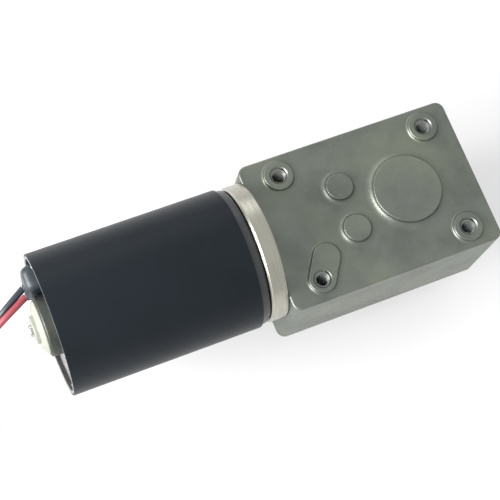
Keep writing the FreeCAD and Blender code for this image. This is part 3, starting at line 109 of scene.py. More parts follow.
class Finish:
    """A node material built round one Principled shader, in the object's own coordinates."""

    def __init__(self, name, metallic, roughness, colour):
        self.material = bpy.data.materials.new(name)
        self.material.use_nodes = True
        self.tree = self.material.node_tree
        self.shader = self.tree.nodes["Principled BSDF"]
        self.shader.inputs["Metallic"].default_value = metallic
        self.shader.inputs["Roughness"].default_value = roughness
        self.shader.inputs["Base Color"].default_value = (*colour, 1)
        self.place = self.add("ShaderNodeTexCoord").outputs["Object"]

    def add(self, kind):
        return self.tree.nodes.new(kind)

    def link(self, source, target):
        self.tree.links.new(source, target)

    def set(self, name, source):
        self.link(source, self.shader.inputs[name])

    def noise(self, width, detail=4.0, stretch=(1, 1, 1), offset=0.0):
        """Cloudy noise with features about this wide, in metres."""
        mapping = self.add("ShaderNodeMapping")
        mapping.inputs["Scale"].default_value = [1 / (width * part) for part in stretch]
        mapping.inputs["Location"].default_value = (offset, offset, offset)
        self.link(self.place, mapping.inputs["Vector"])
        noise = self.add("ShaderNodeTexNoise")
        noise.inputs["Scale"].default_value = 1.0
        noise.inputs["Detail"].default_value = detail
        self.link(mapping.outputs["Vector"], noise.inputs["Vector"])
        return noise.outputs["Fac"]

    def bands(self, pitch, axis, distortion=0.0):
        """A wave of this pitch along one axis."""
        mapping = self.add("ShaderNodeMapping")
        mapping.inputs["Scale"].default_value = (1 / pitch,) * 3
        self.link(self.place, mapping.inputs["Vector"])
        wave = self.add("ShaderNodeTexWave")
        wave.bands_direction = axis
        wave.inputs["Scale"].default_value = math.pi / 10
        wave.inputs["Distortion"].default_value = distortion
        self.link(mapping.outputs["Vector"], wave.inputs["Vector"])
        return wave.outputs["Fac"]

    def pits(self, width, share):
        """1 in small round pits that take this share of the cells, 0 elsewhere."""
        mapping = self.add("ShaderNodeMapping")
        mapping.inputs["Scale"].default_value = (1 / width,) * 3
        self.link(self.place, mapping.inputs["Vector"])
        cells = self.add("ShaderNodeTexVoronoi")
        cells.inputs["Scale"].default_value = 1.0
        self.link(mapping.outputs["Vector"], cells.inputs["Vector"])
        return self.between(cells.outputs["Distance"], share, share * 0.4, 0.0, 1.0)

    def between(self, source, low, high, out_low, out_high):
        """The source remapped from low..high to out_low..out_high, and held there."""
        remap = self.add("ShaderNodeMapRange")
        for name, value in (("From Min", low), ("From Max", high), ("To Min", out_low), ("To Max", out_high)):
            remap.inputs[name].default_value = value
        self.link(source, remap.inputs["Value"])
        return remap.outputs["Result"]

    def tint(self, factor, first, second):
        mix = self.add("ShaderNodeMix")
        mix.data_type = "RGBA"
        mix.inputs["A"].default_value = (*first, 1) if not hasattr(first, "node") else (0, 0, 0, 1)
        mix.inputs["B"].default_value = (*second, 1)
        if hasattr(first, "node"):
            self.link(first, mix.inputs["A"])
        self.link(factor, mix.inputs["Factor"])
        return mix.outputs["Result"]

    def relief(self, *heights):
        """Bumps, each (source, height in metres), one over the other."""
        normal = None
        for source, height in heights:
            bump = self.add("ShaderNodeBump")
            bump.inputs["Strength"].default_value = 1.0
            bump.inputs["Distance"].default_value = height
            self.link(source, bump.inputs["Height"])
            if normal is not None:
                self.link(normal, bump.inputs["Normal"])
            normal = bump.outputs["Normal"]
        self.set("Normal", normal)


def shade(colour, factor):
    return tuple(part * factor for part in colour)


def cast_metal(name, colour, metallic=0.85, roughness=0.42):
    """A bead-blasted die casting: fine grain, cloudy tone, a few pits, and warm patches of painted sheen."""
    finish = Finish(name, metallic, roughness, colour)
    cloud = finish.noise(9 * MM, detail=5)
    grain = finish.noise(0.22 * MM, detail=3)
    speck = finish.noise(0.7 * MM, detail=6, offset=3.0)
    tone = finish.tint(finish.between(cloud, 0.35, 0.65, 0.0, 1.0), shade(colour, 0.85), shade(colour, 1.10))
    # Painted sheen: lighter, warmer patches put into the colour at random, standing in for light caught by
    # the surface.
    sheen = finish.noise(15 * MM, detail=4, offset=8.0)
    painted_sheen_colour = (colour[0] * 1.27, colour[1] * 1.25, colour[2] * 1.12)
    tone = finish.tint(finish.between(sheen, 0.46, 0.66, 0.0, 0.75), tone, painted_sheen_colour)
    tone = finish.tint(finish.between(speck, 0.60, 0.78, 0.0, 0.5), tone, shade(colour, 1.45))
    finish.set("Base Color", tone)
    finish.set("Roughness", finish.between(speck, 0.3, 0.7, roughness - 0.05, roughness + 0.08))
    finish.relief((finish.pits(1.7 * MM, 0.12), -0.03 * MM), (cloud, 0.05 * MM), (grain, 0.018 * MM))
    return finish.material


def machined_metal(name, colour, roughness=0.26, axis="Z", pitch=0.16, depth=0.002, metallic=1.0):
    """Turned or ground metal: fine lines across one axis and a slightly uneven sheen."""
    finish = Finish(name, metallic, roughness, colour)
    smear = finish.noise(1.6 * MM, detail=4)
    fine = finish.noise(0.3 * MM, detail=2, offset=7.0)
    lines = finish.bands(pitch * MM, axis, distortion=0.6)
    finish.set("Base Color", finish.tint(smear, shade(colour, 0.93), shade(colour, 1.06)))
    finish.set("Roughness", finish.between(smear, 0.3, 0.7, roughness - 0.06, roughness + 0.08))
    finish.relief((lines, depth * MM), (fine, 0.0015 * MM))
    return finish.material


def turned_ring_metal():
    """Facing and turning marks as fine bands round the axis, with the streaky sheen of brushing."""
    colour = (0.45, 0.438, 0.378)
    finish = Finish("ring", 1.0, 0.30, colour)
    streaks = finish.noise(0.9 * MM, detail=5, stretch=(0.12, 6, 6))
    long_streaks = finish.noise(2.2 * MM, detail=3, stretch=(0.25, 8, 8), offset=11.0)
    stain = finish.noise(7 * MM, detail=3, offset=5.0)
    tone = finish.tint(finish.between(streaks, 0.3, 0.7, 0.0, 1.0), shade(colour, 0.80), shade(colour, 1.08))
    tone = finish.tint(finish.between(stain, 0.55, 0.75, 0.0, 0.35), tone, (0.42, 0.37, 0.30))
    finish.set("Base Color", tone)
    finish.set("Roughness", finish.between(long_streaks, 0.3, 0.7, 0.24, 0.40))
    finish.relief((finish.bands(0.22 * MM, "X", distortion=0.4), 0.004 * MM), (streaks, 0.004 * MM))
    return finish.material


def sleeve_paint():
    """Black coated steel with a soft, slightly uneven sheen."""
    colour = (0.0098, 0.0130, 0.0168)
    finish = Finish("sleeve", 0.0, 0.38, colour)
    cloud = finish.noise(14 * MM, detail=4)
    dust = finish.noise(0.5 * MM, detail=6, offset=2.0)
    finish.set("Base Color", finish.tint(cloud, shade(colour, 0.85), shade(colour, 1.2)))
    finish.set("Roughness", finish.between(dust, 0.3, 0.7, 0.34, 0.44))
    finish.shader.inputs["Specular IOR Level"].default_value = 0.12
    finish.relief((cloud, 0.03 * MM), (dust, 0.004 * MM))
    return finish.material


def lacquered_can():
    colour = (0.055, 0.058, 0.062)
    finish = Finish("can", 0.6, 0.34, colour)
    smear = finish.noise(2.5 * MM, detail=4)
    finish.set("Base Color", finish.tint(smear, shade(colour, 0.8), shade(colour, 1.4)))
    finish.set("Roughness", finish.between(smear, 0.3, 0.7, 0.26, 0.44))
    finish.relief((finish.bands(0.3 * MM, "X", distortion=1.0), 0.003 * MM))
    return finish.material


def plated_steel(name, colour, roughness=0.33):
    """Zinc-plated sheet: crystalline mottling and fine pressing marks."""
    finish = Finish(name, 0.95, roughness, colour)
    spangle = finish.noise(1.1 * MM, detail=6)
    stain = finish.noise(5 * MM, detail=4, offset=4.0)
    tone = finish.tint(finish.between(spangle, 0.35, 0.7, 0.0, 1.0), shade(colour, 0.86), shade(colour, 1.1))
    tone = finish.tint(finish.between(stain, 0.5, 0.8, 0.0, 0.5), tone, shade((1.0, 0.86, 0.62), colour[0]))
    finish.set("Base Color", tone)
    finish.set("Roughness", finish.between(stain, 0.3, 0.7, roughness - 0.08, roughness + 0.1))
    finish.relief((spangle, 0.008 * MM))
    return finish.material


def moulded_plastic(name, colour, roughness=0.42, grain=0.006, subsurface=0.0):
    """Injection-moulded plastic: faint flow clouding and a fine eroded texture."""
    finish = Finish(name, 0.0, roughness, colour)
    flow = finish.noise(3.5 * MM, detail=3)
    texture = finish.noise(0.18 * MM, detail=3, offset=6.0)
    finish.set("Base Color", finish.tint(flow, shade(colour, 0.94), shade(colour, 1.05)))
    finish.set("Roughness", finish.between(flow, 0.3, 0.7, roughness - 0.05, roughness + 0.06))
    finish.shader.inputs["Subsurface Weight"].default_value = subsurface
    finish.shader.inputs["Subsurface Radius"].default_value = (0.9 * MM, 0.8 * MM, 0.6 * MM)
    finish.shader.inputs["Subsurface Scale"].default_value = 1.0
    finish.relief((texture, grain * MM))
    return finish.material


def laminated_steel():
    """Edges of half-millimetre sheets, stacked along X."""
    colour = (0.28, 0.28, 0.29)
    finish = Finish("core", 0.9, 0.4, colour)
    sheets = finish.bands(0.5 * MM, "X")
    gaps = finish.between(sheets, 0.0, 0.35, 0.0, 1.0)
    finish.set("Base Color", finish.tint(gaps, shade(colour, 0.35), colour))
    finish.relief((sheets, 0.03 * MM))
    return finish.material


def enamelled_copper():
    colour = (0.56, 0.20, 0.075)
    finish = Finish("copper", 0.85, 0.24, colour)
    smear = finish.noise(1.2 * MM, detail=4)
    finish.set("Base Color", finish.tint(smear, shade(colour, 0.75), shade(colour, 1.2)))
    finish.shader.inputs["Coat Weight"].default_value = 0.6
    finish.relief((smear, 0.01 * MM))
    return finish.material


MATERIALS = {
    "housing": cast_metal("housing", (0.170, 0.185, 0.163)),
    "cover": cast_metal("cover", (0.25, 0.26, 0.238), roughness=0.38),
    "screws": plated_steel("screws", (0.60, 0.58, 0.52), 0.28),
    "steel": machined_metal("steel", (0.56, 0.56, 0.57), 0.24),
    "ground_steel": machined_metal("ground_steel", (0.55, 0.55, 0.56), 0.20, axis="X", pitch=0.1),
    "spring_steel": machined_metal("spring_steel", (0.10, 0.10, 0.11), 0.36, metallic=0.8),
    "output_gear": machined_metal("output_gear", (0.36, 0.35, 0.34), 0.38, pitch=0.3),
    "pinion": machined_metal("pinion", (0.50, 0.50, 0.51), 0.28),
    "second_gear": machined_metal("second_gear", (0.40, 0.39, 0.38), 0.36, pitch=0.3),
    "wheel": machined_metal("wheel", (0.62, 0.42, 0.14), 0.28),
    "worm": machined_metal("worm", (0.56, 0.56, 0.58), 0.22, axis="X"),
    "bush": cast_metal("bush", (0.46, 0.29, 0.11), metallic=0.95, roughness=0.42),
    "washer": moulded_plastic("washer", (0.72, 0.70, 0.60), 0.45),
    "ring": turned_ring_metal(),
    "can": lacquered_can(),
    # The hub's plated steel, painted much darker than the plate it is drawn from: painted shade.
    "hub_painted_shade": plated_steel("hub_painted_shade", (0.085, 0.094, 0.084), 0.48),
    "can_edge": plated_steel("can_edge", (0.40, 0.40, 0.39), 0.30),
    "fresh_cut": machined_metal("fresh_cut", (0.25, 0.26, 0.25), 0.30, pitch=0.12),
    "sleeve": sleeve_paint(),
    "end_plate": plated_steel("end_plate", (0.44, 0.445, 0.44), 0.32),
    "cap": moulded_plastic("cap", (0.27, 0.280, 0.235), 0.36, subsurface=0.1),
    "magnet": moulded_plastic("magnet", (0.030, 0.030, 0.033), 0.5, grain=0.02),
    "core": laminated_steel(),
    "copper": enamelled_copper(),
    "commutator": machined_metal("commutator", (0.64, 0.27, 0.12), 0.25, axis="X"),
    "carbon": moulded_plastic("carbon", (0.016, 0.016, 0.018), 0.55, grain=0.02),
    "brush_arm": machined_metal("brush_arm", (0.70, 0.50, 0.20), 0.26, axis="X"),
    "holder": moulded_plastic("holder", (0.018, 0.018, 0.02), 0.45),
    "grommet": moulded_plastic("grommet", (0.016, 0.023, 0.029), 0.40, grain=0.01),
    "red_lead": moulded_plastic("red_lead", (0.26, 0.040, 0.053), 0.42, subsurface=0.1),
    "black_lead": moulded_plastic("black_lead", (0.018, 0.026, 0.036), 0.34),
    "tin": machined_metal("tin", (0.66, 0.66, 0.65), 0.22, axis="X"),
    "tie": moulded_plastic("tie", (0.02, 0.02, 0.022), 0.40),
}


# ---- mesh helpers ----------------------------------------------------------------------------------------

def make_piece(name, built, slot, nodes=(), body=motor, sharp=32, finish=None):
    """Turns built geometry into a piece, with its material and body, and hides the CAD nodes it stands for.

    Edges sharper than sharp degrees stay hard. The finish is a material other than the slot's own.
    """
    bmesh.ops.recalc_face_normals(built, faces=built.faces)
    mesh = bpy.data.meshes.new(name)
    built.to_mesh(mesh)
    built.free()
    for face in mesh.polygons:
        face.use_smooth = True
    mesh.set_sharp_from_angle(angle=math.radians(sharp))
    mesh.materials.append(MATERIALS[finish or slot])
    piece = bpy.data.objects.new(name, mesh)
    bpy.context.scene.collection.objects.link(piece)
    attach(piece, body)
    if nodes:
        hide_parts(*nodes)
    return piece


def softened(corners, steps=5):
    """Corners are (place, radius, rounding). A corner with a rounding becomes an arc."""
    points = []
    for index, (place, radius, rounding) in enumerate(corners):
        here = Vector((place, radius))
        if rounding == 0:
            points.append(here)
            continue
        before = (Vector(corners[index - 1][:2]) - here).normalized()
        after = (Vector(corners[(index + 1) % len(corners)][:2]) - here).normalized()
        half = before.angle(after) / 2
        start = here + before * (rounding / math.tan(half))
        end = here + after * (rounding / math.tan(half))
        middle = here + (before + after).normalized() * (rounding / math.sin(half))
        first = (start - middle).normalized()
        last = (end - middle).normalized()
        points += [middle + first.slerp(last, step / steps) * rounding for step in range(steps + 1)]
    return points


def add_turned(built, corners, centre, sides):
    """Adds a closed ring, turned about an X axis through centre, with the given outline in millimetres."""
    outline = softened(corners)
    rings = []
    for place, radius in outline:
        ring = []
        for side in range(sides):
            angle = FULL_TURN * side / sides
            offset = Vector((place, radius * math.cos(angle), radius * math.sin(angle)))
            ring.append(built.verts.new(centre + offset * MM))
        rings.append(ring)
    for ring, following in zip(rings, rings[1:] + rings[:1]):
        for side in range(sides):
            after = (side + 1) % sides
            built.faces.new((ring[side], ring[after], following[after], following[side]))


def turned_piece(name, corners, slot, nodes=(), body=motor, sides=SMOOTH_SIDES, finish=None):
    """A piece turned about the motor's axis; places are the frame's X in millimetres."""
    built = bmesh.new()
    add_turned(built, corners, point(0, 0, axis_height), sides)
    return make_piece(name, built, slot, nodes, body, finish=finish)


def add_swept(built, sections):
    """Joins equal sections, each a list of points, into a tube with flat ends."""
    rings = [[built.verts.new(spot) for spot in section] for section in sections]
    count = len(rings[0])
    for ring, following in zip(rings, rings[1:]):
        for side in range(count):
            after = (side + 1) % count
            built.faces.new((ring[side], ring[after], following[after], following[side]))
    built.faces.new(rings[0])
    built.faces.new(list(reversed(rings[-1])))


def add_inner_thread(built, centre, low, high, radius, depth, pitch):
    """A helical ridge that stands inwards from the wall of a hole along Z, run out at both ends."""
    turns = (high - low) / pitch
    steps = int(turns * 32)
    sections = []
    for step in range(steps + 1):
        share = step / steps
        angle = turns * share * FULL_TURN
        fade = min(1.0, share * turns * 2, (1 - share) * turns * 2)
        crest = radius - depth * max(fade, 0.05)
        height = low + (high - low) * share
        outwards = Vector((math.cos(angle), math.sin(angle), 0))
        section = []
        for reach, rise in ((radius + 0.03, -0.42), (crest, -0.07), (crest, 0.07), (radius + 0.03, 0.42)):
            section.append(centre + (outwards * reach + Vector((0, 0, height + rise * pitch))) * MM)
        sections.append(section)
    add_swept(built, sections)


# ---- leads -----------------------------------------------------------------------------------------------

# The same points as the CAD routes, then the coils' turns.
RED_ROUTE = [
    (-0.09895, 0.0098, 0.0150),
    (-0.1035, 0.0075, 0.0144),
    (-0.1084, 0.0055, 0.0117),
    (-0.1124, 0.0042, 0.0066),
    (-0.1149, 0.0036, -0.0001),
    (-0.1166, 0.0033, -0.0063),
    (-0.1200, 0.0031, -0.0112),
    (-0.1246, 0.00305, -0.0132),
    (-0.1286, 0.00295, -0.0134),
]
BLACK_ROUTE = [
    (-0.09895, 0.01205, 0.0150),
    (-0.1032, 0.0097, 0.0140),
    (-0.1077, 0.0074, 0.01095),
    (-0.1109, 0.0056, 0.0058),
    (-0.1129, 0.0042, -0.0009),
    (-0.1147, 0.0034, -0.0073),
    (-0.1186, 0.0030, -0.0127),
    (-0.1236, 0.00295, -0.0151),
    (-0.1286, 0.00295, -0.01525),
]
LEAD_DIAMETER = 0.0018


def coil_turns(entry, node, tail):
    """The turns of a flat coil, from where the lead enters it inwards, easing over to the tail at the end."""
    low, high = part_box(node)
    middle = (low + high) / 2
    spread = math.hypot(entry[0] - middle.x, entry[1] - middle.y)
    start = math.atan2(entry[1] - middle.y, entry[0] - middle.x)
    end = math.atan2(tail.y - middle.y, tail.x - middle.x)
    sweep = (end - start) % FULL_TURN + 2 * FULL_TURN
    tail_radius = math.hypot(tail.x - middle.x, tail.y - middle.y)
    steps = 40
    turn_spacing = 1.12 * LEAD_DIAMETER
    ease_angle = math.radians(70)
    turns = []
    for step in range(1, steps + 1):
        angle = sweep * step / steps
        radius = spread - turn_spacing * angle / FULL_TURN
        left = sweep - angle
        ease = max(0.0, 1 - left / ease_angle)
        ease = ease * ease * (3 - 2 * ease)
        radius += (tail_radius - radius) * ease
        turns.append((
            middle.x + radius * math.cos(start + angle),
            middle.y + radius * math.sin(start + angle),
            middle.z,
        ))
    return turns


def make_lead(name, route, colour):
    """One insulated lead, with its coil, and its twisted, tinned strands at the end."""
    coil = f"{colour}_lead_coil"
    strand_node = f"{colour}_lead_end"
    strand_low, strand_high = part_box(strand_node)
    tail = Vector((strand_high.x, strand_high.y, (strand_low.z + strand_high.z) / 2))
    tip = Vector((strand_low.x, strand_low.y, tail.z))
    places = route + coil_turns(route[-1], coil, tail)
    data = bpy.data.curves.new(name, "CURVE")
    data.dimensions = "3D"
    spline = data.splines.new("NURBS")
    spline.points.add(len(places) - 1)
    for spot, place in zip(spline.points, places):
        spot.co = (*place, 1)
    spline.order_u = 3
    spline.use_endpoint_u = True
    data.resolution_u = 8
    data.bevel_depth = LEAD_DIAMETER / 2
    data.bevel_resolution = 5
    data.use_fill_caps = True
    data.materials.append(MATERIALS[f"{colour}_lead"])
    lead = bpy.data.objects.new(name, data)
    bpy.context.scene.collection.objects.link(lead)
    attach(lead, motor)
    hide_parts(f"{colour}_lead", coil)
    strands = make_strands(f"{colour}_strands", tail, tip, strand_node)


def make_strands(name, start, end, node):
    """Six tinned strands twisted round a seventh."""
    along = (end - start).normalized()
    side = along.cross(Vector((0, 0, 1))).normalized()
    up = side.cross(along)
    length = (end - start).length
    strand_radius = 0.17 * MM
    lay_radius = 0.35 * MM
    lay_turns = 0.8
    outer_strands = 6
    steps = 32
    built = bmesh.new()
    for strand in range(outer_strands + 1):
        orbit = 0.0 if strand == outer_strands else lay_radius
        sections = []
        for step in range(steps + 1):
            share = step / steps
            turn = FULL_TURN * (strand / outer_strands + share * lay_turns)
            middle = start + along * length * share + (side * math.cos(turn) + up * math.sin(turn)) * orbit
            section = []
            for corner in range(10):
                angle = FULL_TURN * corner / 10
                section.append(middle + (side * math.cos(angle) + up * math.sin(angle)) * strand_radius)
            sections.append(section)
        add_swept(built, sections)
    return make_piece(name, built, "tin", [node])


# ---- gearbox ---------------------------------------------------------------------------------------------

def corner_places():
    """The four threaded corners, as (x, y) in millimetres."""
    pattern = next(item for item in frame["record"]["mounts"] if item["name"] == "blind_face_bolts")
    middle = Vector(pattern["pos_m"]) / MM
    half_x = pattern["dims"]["spacing_x_mm"] / 2
    half_y = pattern["dims"]["spacing_y_mm"] / 2
    return [(middle.x + sx * half_x, middle.y + sy * half_y) for sx in (-1, 1) for sy in (-1, 1)]


def corner_threads():
    """M4 threads in the corners of both faces."""
    built = bmesh.new()
    blind_mouth = 28.5
    run_in = 0.5
    thread_depth = 9.0
    for x, y in corner_places():
        for start, end in ((blind_mouth - thread_depth, blind_mouth - run_in), (run_in, thread_depth)):
            add_inner_thread(built, point(x, y, 0), start, end, radius=2.0, depth=0.38, pitch=0.7)
    make_piece("corner_threads", built, "housing", finish="fresh_cut")


def add_flare(built, centre, radius, spread, rise, foot):
    """A concave skirt round a round boss of this radius, wider by the spread at its foot."""
    sides = 128
    steps = 10
    rings = []
    for step in range(steps + 1):
        angle = math.radians(90) * step / steps
        reach = radius + spread * (1 - math.sin(angle))
        height = foot + rise * (1 - math.cos(angle))
        ring = []
        for side in range(sides):
            turn = FULL_TURN * (side + 0.5) / sides
            spot = Vector(centre) + Vector((math.cos(turn), math.sin(turn))) * reach
            ring.append(built.verts.new(point(spot.x, spot.y, height)))
        rings.append(ring)
    for ring, following in zip(rings, rings[1:]):
        for side in range(sides):
            after = (side + 1) % sides
            built.faces.new((ring[side], ring[after], following[after], following[side]))
    built.faces.new(list(reversed(rings[0])))
    built.faces.new(rings[-1])


def boss_flares():
    """The wide soft feet of the casting's bosses over the output shaft and over the two gear pins."""
    built = bmesh.new()
    foot = 27.48
    add_flare(built, (0, 0), radius=8.95, spread=2.3, rise=1.45, foot=foot)
    for name in ("first_gear_pin", "second_gear_pin"):
        low, high = span(name)
        middle = ((low.x + high.x) / 2, (low.y + high.y) / 2)
        add_flare(built, middle, radius=3.55, spread=1.6, rise=1.15, foot=foot)
    make_piece("boss_flares", built, "housing", sharp=60)


# ---- motor -----------------------------------------------------------------------------------------------

# The can's thinned rear edge, in millimetres: its wall, and the width of it that is bare metal.
LIP = 0.6
BARE_EDGE = 0.2
PLATE_THICKNESS = 1.2
HUB_RADIUS = 7.8


def adapter_ring():
    """The turned ring between the gearbox and the can, with a chamfer at each end."""
    low, high = span("adapter_ring")
    bore = 6.55
    turned_piece("adapter_ring_turned", [
        (low.x, bore, 0),
        (low.x, high.y - 0.55, 0.12),
        (low.x + 0.5, high.y, 0.15),
        (high.x - 0.35, high.y, 0.1),
        (high.x, high.y - 0.3, 0.08),
        (high.x, bore, 0),
    ], "ring", ["adapter_ring"], sides=220)


def motor_can():
    """The drawn can, and its thinned rear edge, which is bare metal where it was staked over the plate."""
    low, high = span("motor_can")
    front = span("adapter_ring")[0].x
    seat = span("end_plate")[1].x
    outer = high.y
    wall = 1.4
    inner = outer - wall
    boss = 6.5
    bush_seat = 5.0
    shaft_hole = 2.9
    boss_front = high.x - 1.2
    turned_piece("motor_can_drawn", [
        (low.x + BARE_EDGE, outer - LIP, 0),
        (low.x + BARE_EDGE, outer, 0),
        (front, outer, 1.3),
        (front, boss, 0.1),
        (high.x, boss, 0.3),
        (high.x, shaft_hole, 0.1),
        (boss_front, shaft_hole, 0),
        (boss_front, bush_seat, 0),
        (front - wall, bush_seat, 0),
        (front - wall, inner, 0.8),
        (seat, inner, 0),
        (seat, outer - LIP, 0),
    ], "can", ["motor_can"], sides=200)
    turned_piece("can_edge", [
        (low.x, outer - LIP, 0.12),
        (low.x, outer, 0.06),
        (low.x + BARE_EDGE, outer, 0),
        (low.x + BARE_EDGE, outer - LIP, 0),
    ], "can", sides=240, finish="can_edge")


def motor_sleeve():
    """The rolled sleeve over the can, with softened ends."""
    low, high = span("motor_sleeve")
    inner = span("motor_can")[1].y + 0.02
    turned_piece("motor_sleeve_rolled", [
        (low.x, inner, 0.05),
        (low.x, high.y, 0.13),
        (high.x, high.y, 0.18),
        (high.x, inner, 0.05),
    ], "sleeve", ["motor_sleeve"], sides=240)


def end_plate():
    """The pressed rear plate, with a shallow bead round it, and the tall hub for the rear bush."""
    low, high = span("end_plate")
    face = high.x - PLATE_THICKNESS
    hub_bore = 6.7
    hub_mouth = 4.0
    hub_lip = low.x + 0.8
    turned_piece("end_plate_pressed", [
        (face, HUB_RADIUS, 0.2),
        (face, 10.2, 0.2),
        (face + 0.35, 10.6, 0.2),
        (face + 0.35, 13.8, 0.2),
        (face, 14.2, 0.2),
        (face, high.y, 0.2),
        (high.x, high.y, 0.1),
        (high.x, HUB_RADIUS, 0),
    ], "end_plate", ["end_plate"], sides=180)
    # The hub is drawn from the plate's own sheet. It takes a darker copy of the plate's finish as painted
    # shade.
    turned_piece("end_plate_hub", [
        (low.x, hub_mouth, 0.1),
        (low.x, HUB_RADIUS, 0.55),
        (high.x, HUB_RADIUS, 0),
        (high.x, hub_bore, 0.1),
        (hub_lip, hub_bore, 0.1),
        (hub_lip, hub_mouth, 0.1),
    ], "end_plate", sides=180, finish="hub_painted_shade")


def rear_cap():
    """The moulded cap in the hub's mouth, with a groove round its face and a cupped nose round the shaft."""
    low, high = span("rear_cap")
    face = high.x - 1.3
    groove_floor = face + 0.3
    cup_floor = low.x + 0.5
    bore = 1.8
    turned_piece("rear_cap_moulded", [
        (high.x, bore, 0),
        (high.x, high.y, 0.12),
        (high.x - 0.4, high.y, 0.3),
        (face, 5.75, 0.25),
        (face, 5.35, 0.08),
        (groove_floor, 5.2, 0.05),
        (groove_floor, 4.85, 0.05),
        (face, 4.7, 0.12),
        (face, 3.75, 0.15),
        (low.x, 3.6, 0.35),
        (low.x, 2.8, 0.2),
        (cup_floor, 2.5, 0.1),
        (cup_floor, bore, 0.05),
    ], "cap", ["rear_cap"], sides=140)


def staked_tabs():
    """The can's edge, pressed in at three places so that the plate can't come out."""
    built = bmesh.new()
    low, high = span("motor_can")
    inner_wall = high.y - LIP
    stakes = 3
    for stake in range(stakes):
        turn = math.radians(47) + FULL_TURN * stake / stakes
        outwards = Vector((0, math.cos(turn), math.sin(turn)))
        sideways = Vector((0, -math.sin(turn), math.cos(turn)))
        middle = point(low.x + 0.22, 0, axis_height) + outwards * (inner_wall + 0.12) * MM
        made = bmesh.ops.create_icosphere(built, subdivisions=3, radius=1.0)
        for vertex in made["verts"]:
            spot = vertex.co.copy()
            swell = 1 - 0.35 * spot.x
            along = Vector((spot.x * 0.4, 0, 0))
            around = outwards * spot.y * 0.34 * swell + sideways * spot.z * 0.75 * swell
            vertex.co = middle + (along + around) * MM
    make_piece("staked_tabs", built, "can", finish="can_edge")


def lead_boot():
    """The moulded boot over the terminals: an oblong box with a soft outer end, and two collars."""
    low, high = span("lead_grommet")
    face = span("end_plate")[1].x - PLATE_THICKNESS
    near_hub = HUB_RADIUS + 0.15
    centre = Vector((0, (near_hub + high.y) / 2, (low.z + high.z) / 2))
    half = Vector((0, (high.y - near_hub) / 2, (high.z - low.z) / 2))
    depth = face - low.x
    squareness = 4.5
    levels = 14
    sides = 64
    built = bmesh.new()
    sections = []
    for level in range(levels + 1):
        share = level / levels
        rise = math.sin(share * math.pi / 2)
        shrink = math.cos(share * math.pi / 2) ** 0.26
        shrink = max(shrink, 0.02)
        section = []
        for corner in range(sides):
            angle = FULL_TURN * corner / sides
            across, up = math.cos(angle), math.sin(angle)
            square = (abs(across) ** squareness + abs(up) ** squareness) ** (-1 / squareness)
            section.append(point(
                face + 0.05 - depth * rise,
                centre.y + half.y * across * square * shrink,
                centre.z + half.z * up * square * shrink,
            ))
        sections.append(section)
    add_swept(built, sections)
    for route in (RED_ROUTE, BLACK_ROUTE):
        add_collar(built, Vector(route[0]))
    make_piece("lead_boot", built, "grommet", ["lead_grommet"], sharp=60)


def add_collar(built, exit_place):
    """The short collar that the boot grips a lead with, from inside the boot outwards."""
    sides = 28
    turns = [FULL_TURN * corner / sides for corner in range(sides)]
    sections = []
    for back, radius in ((2.2, 1.35), (0.5, 1.2), (0.1, 1.12), (-0.12, 0.96)):
        sections.append([
            exit_place + Vector((back, radius * math.cos(turn), radius * math.sin(turn))) * MM
            for turn in turns
        ])
    add_swept(built, sections)


# ---- armature --------------------------------------------------------------------------------------------

def coil_path(half_length, half_width, rounding, low, high, turns):
    """Points (along, across, out) of a helix of rounded rectangles, from the low to the high radius."""
    corners = []
    for sx, sy, first in ((1, 1, 0), (-1, 1, 90), (-1, -1, 180), (1, -1, 270)):
        middle_x = sx * (half_length - rounding)
        middle_y = sy * (half_width - rounding)
        for step in range(5):
            angle = math.radians(first + 22.5 * step)
            corners.append((middle_x + rounding * math.cos(angle), middle_y + rounding * math.sin(angle)))
    count = len(corners) * turns
    path = []
    for step in range(count):
        along, across = corners[step % len(corners)]
        path.append((along, across, low + (high - low) * step / (count - 1)))
    return path


def wound_coils():
    """A coil of enamelled wire in three layers round the neck of each armature tooth."""
    core_low, core_high = span("armature_core")
    middle_x = (core_low.x + core_high.x) / 2
    half_core = (core_high.x - core_low.x) / 2
    wire_radius = 0.25
    wire_sides = 6
    pitch = 0.52
    half_neck = 1.75
    foot = 6.68
    turns = 6
    layers = 3
    teeth = 5
    built = bmesh.new()
    for tooth in range(teeth):
        turn = math.radians(36) + FULL_TURN * tooth / teeth
        outwards = Vector((0, math.cos(turn), math.sin(turn)))
        sideways = Vector((0, -math.sin(turn), math.cos(turn)))
        path = []
        for layer in range(layers):
            grow = 0.3 + 0.6 * layer
            ends = (foot, foot + pitch * (turns - 1))
            low, high = ends if layer % 2 == 0 else reversed(ends)
            path += coil_path(half_core + grow + 0.1, half_neck + grow, 0.6 + 0.5 * layer, low, high, turns)
        spots = [point(middle_x + along, 0, axis_height) + (sideways * across + outwards * out) * MM
                 for along, across, out in path]
        sections = []
        for index, spot in enumerate(spots):
            before = spots[max(index - 1, 0)]
            after = spots[min(index + 1, len(spots) - 1)]
            side = (after - before).cross(outwards).normalized()
            section = []
            for corner in range(wire_sides):
                angle = FULL_TURN * corner / wire_sides
                around = side * math.cos(angle) + outwards * math.sin(angle)
                section.append(spot + around * wire_radius * MM)
            sections.append(section)
        add_swept(built, sections)
    make_piece("wound_coils", built, "copper", ["armature_windings"], body="armature", sharp=70)


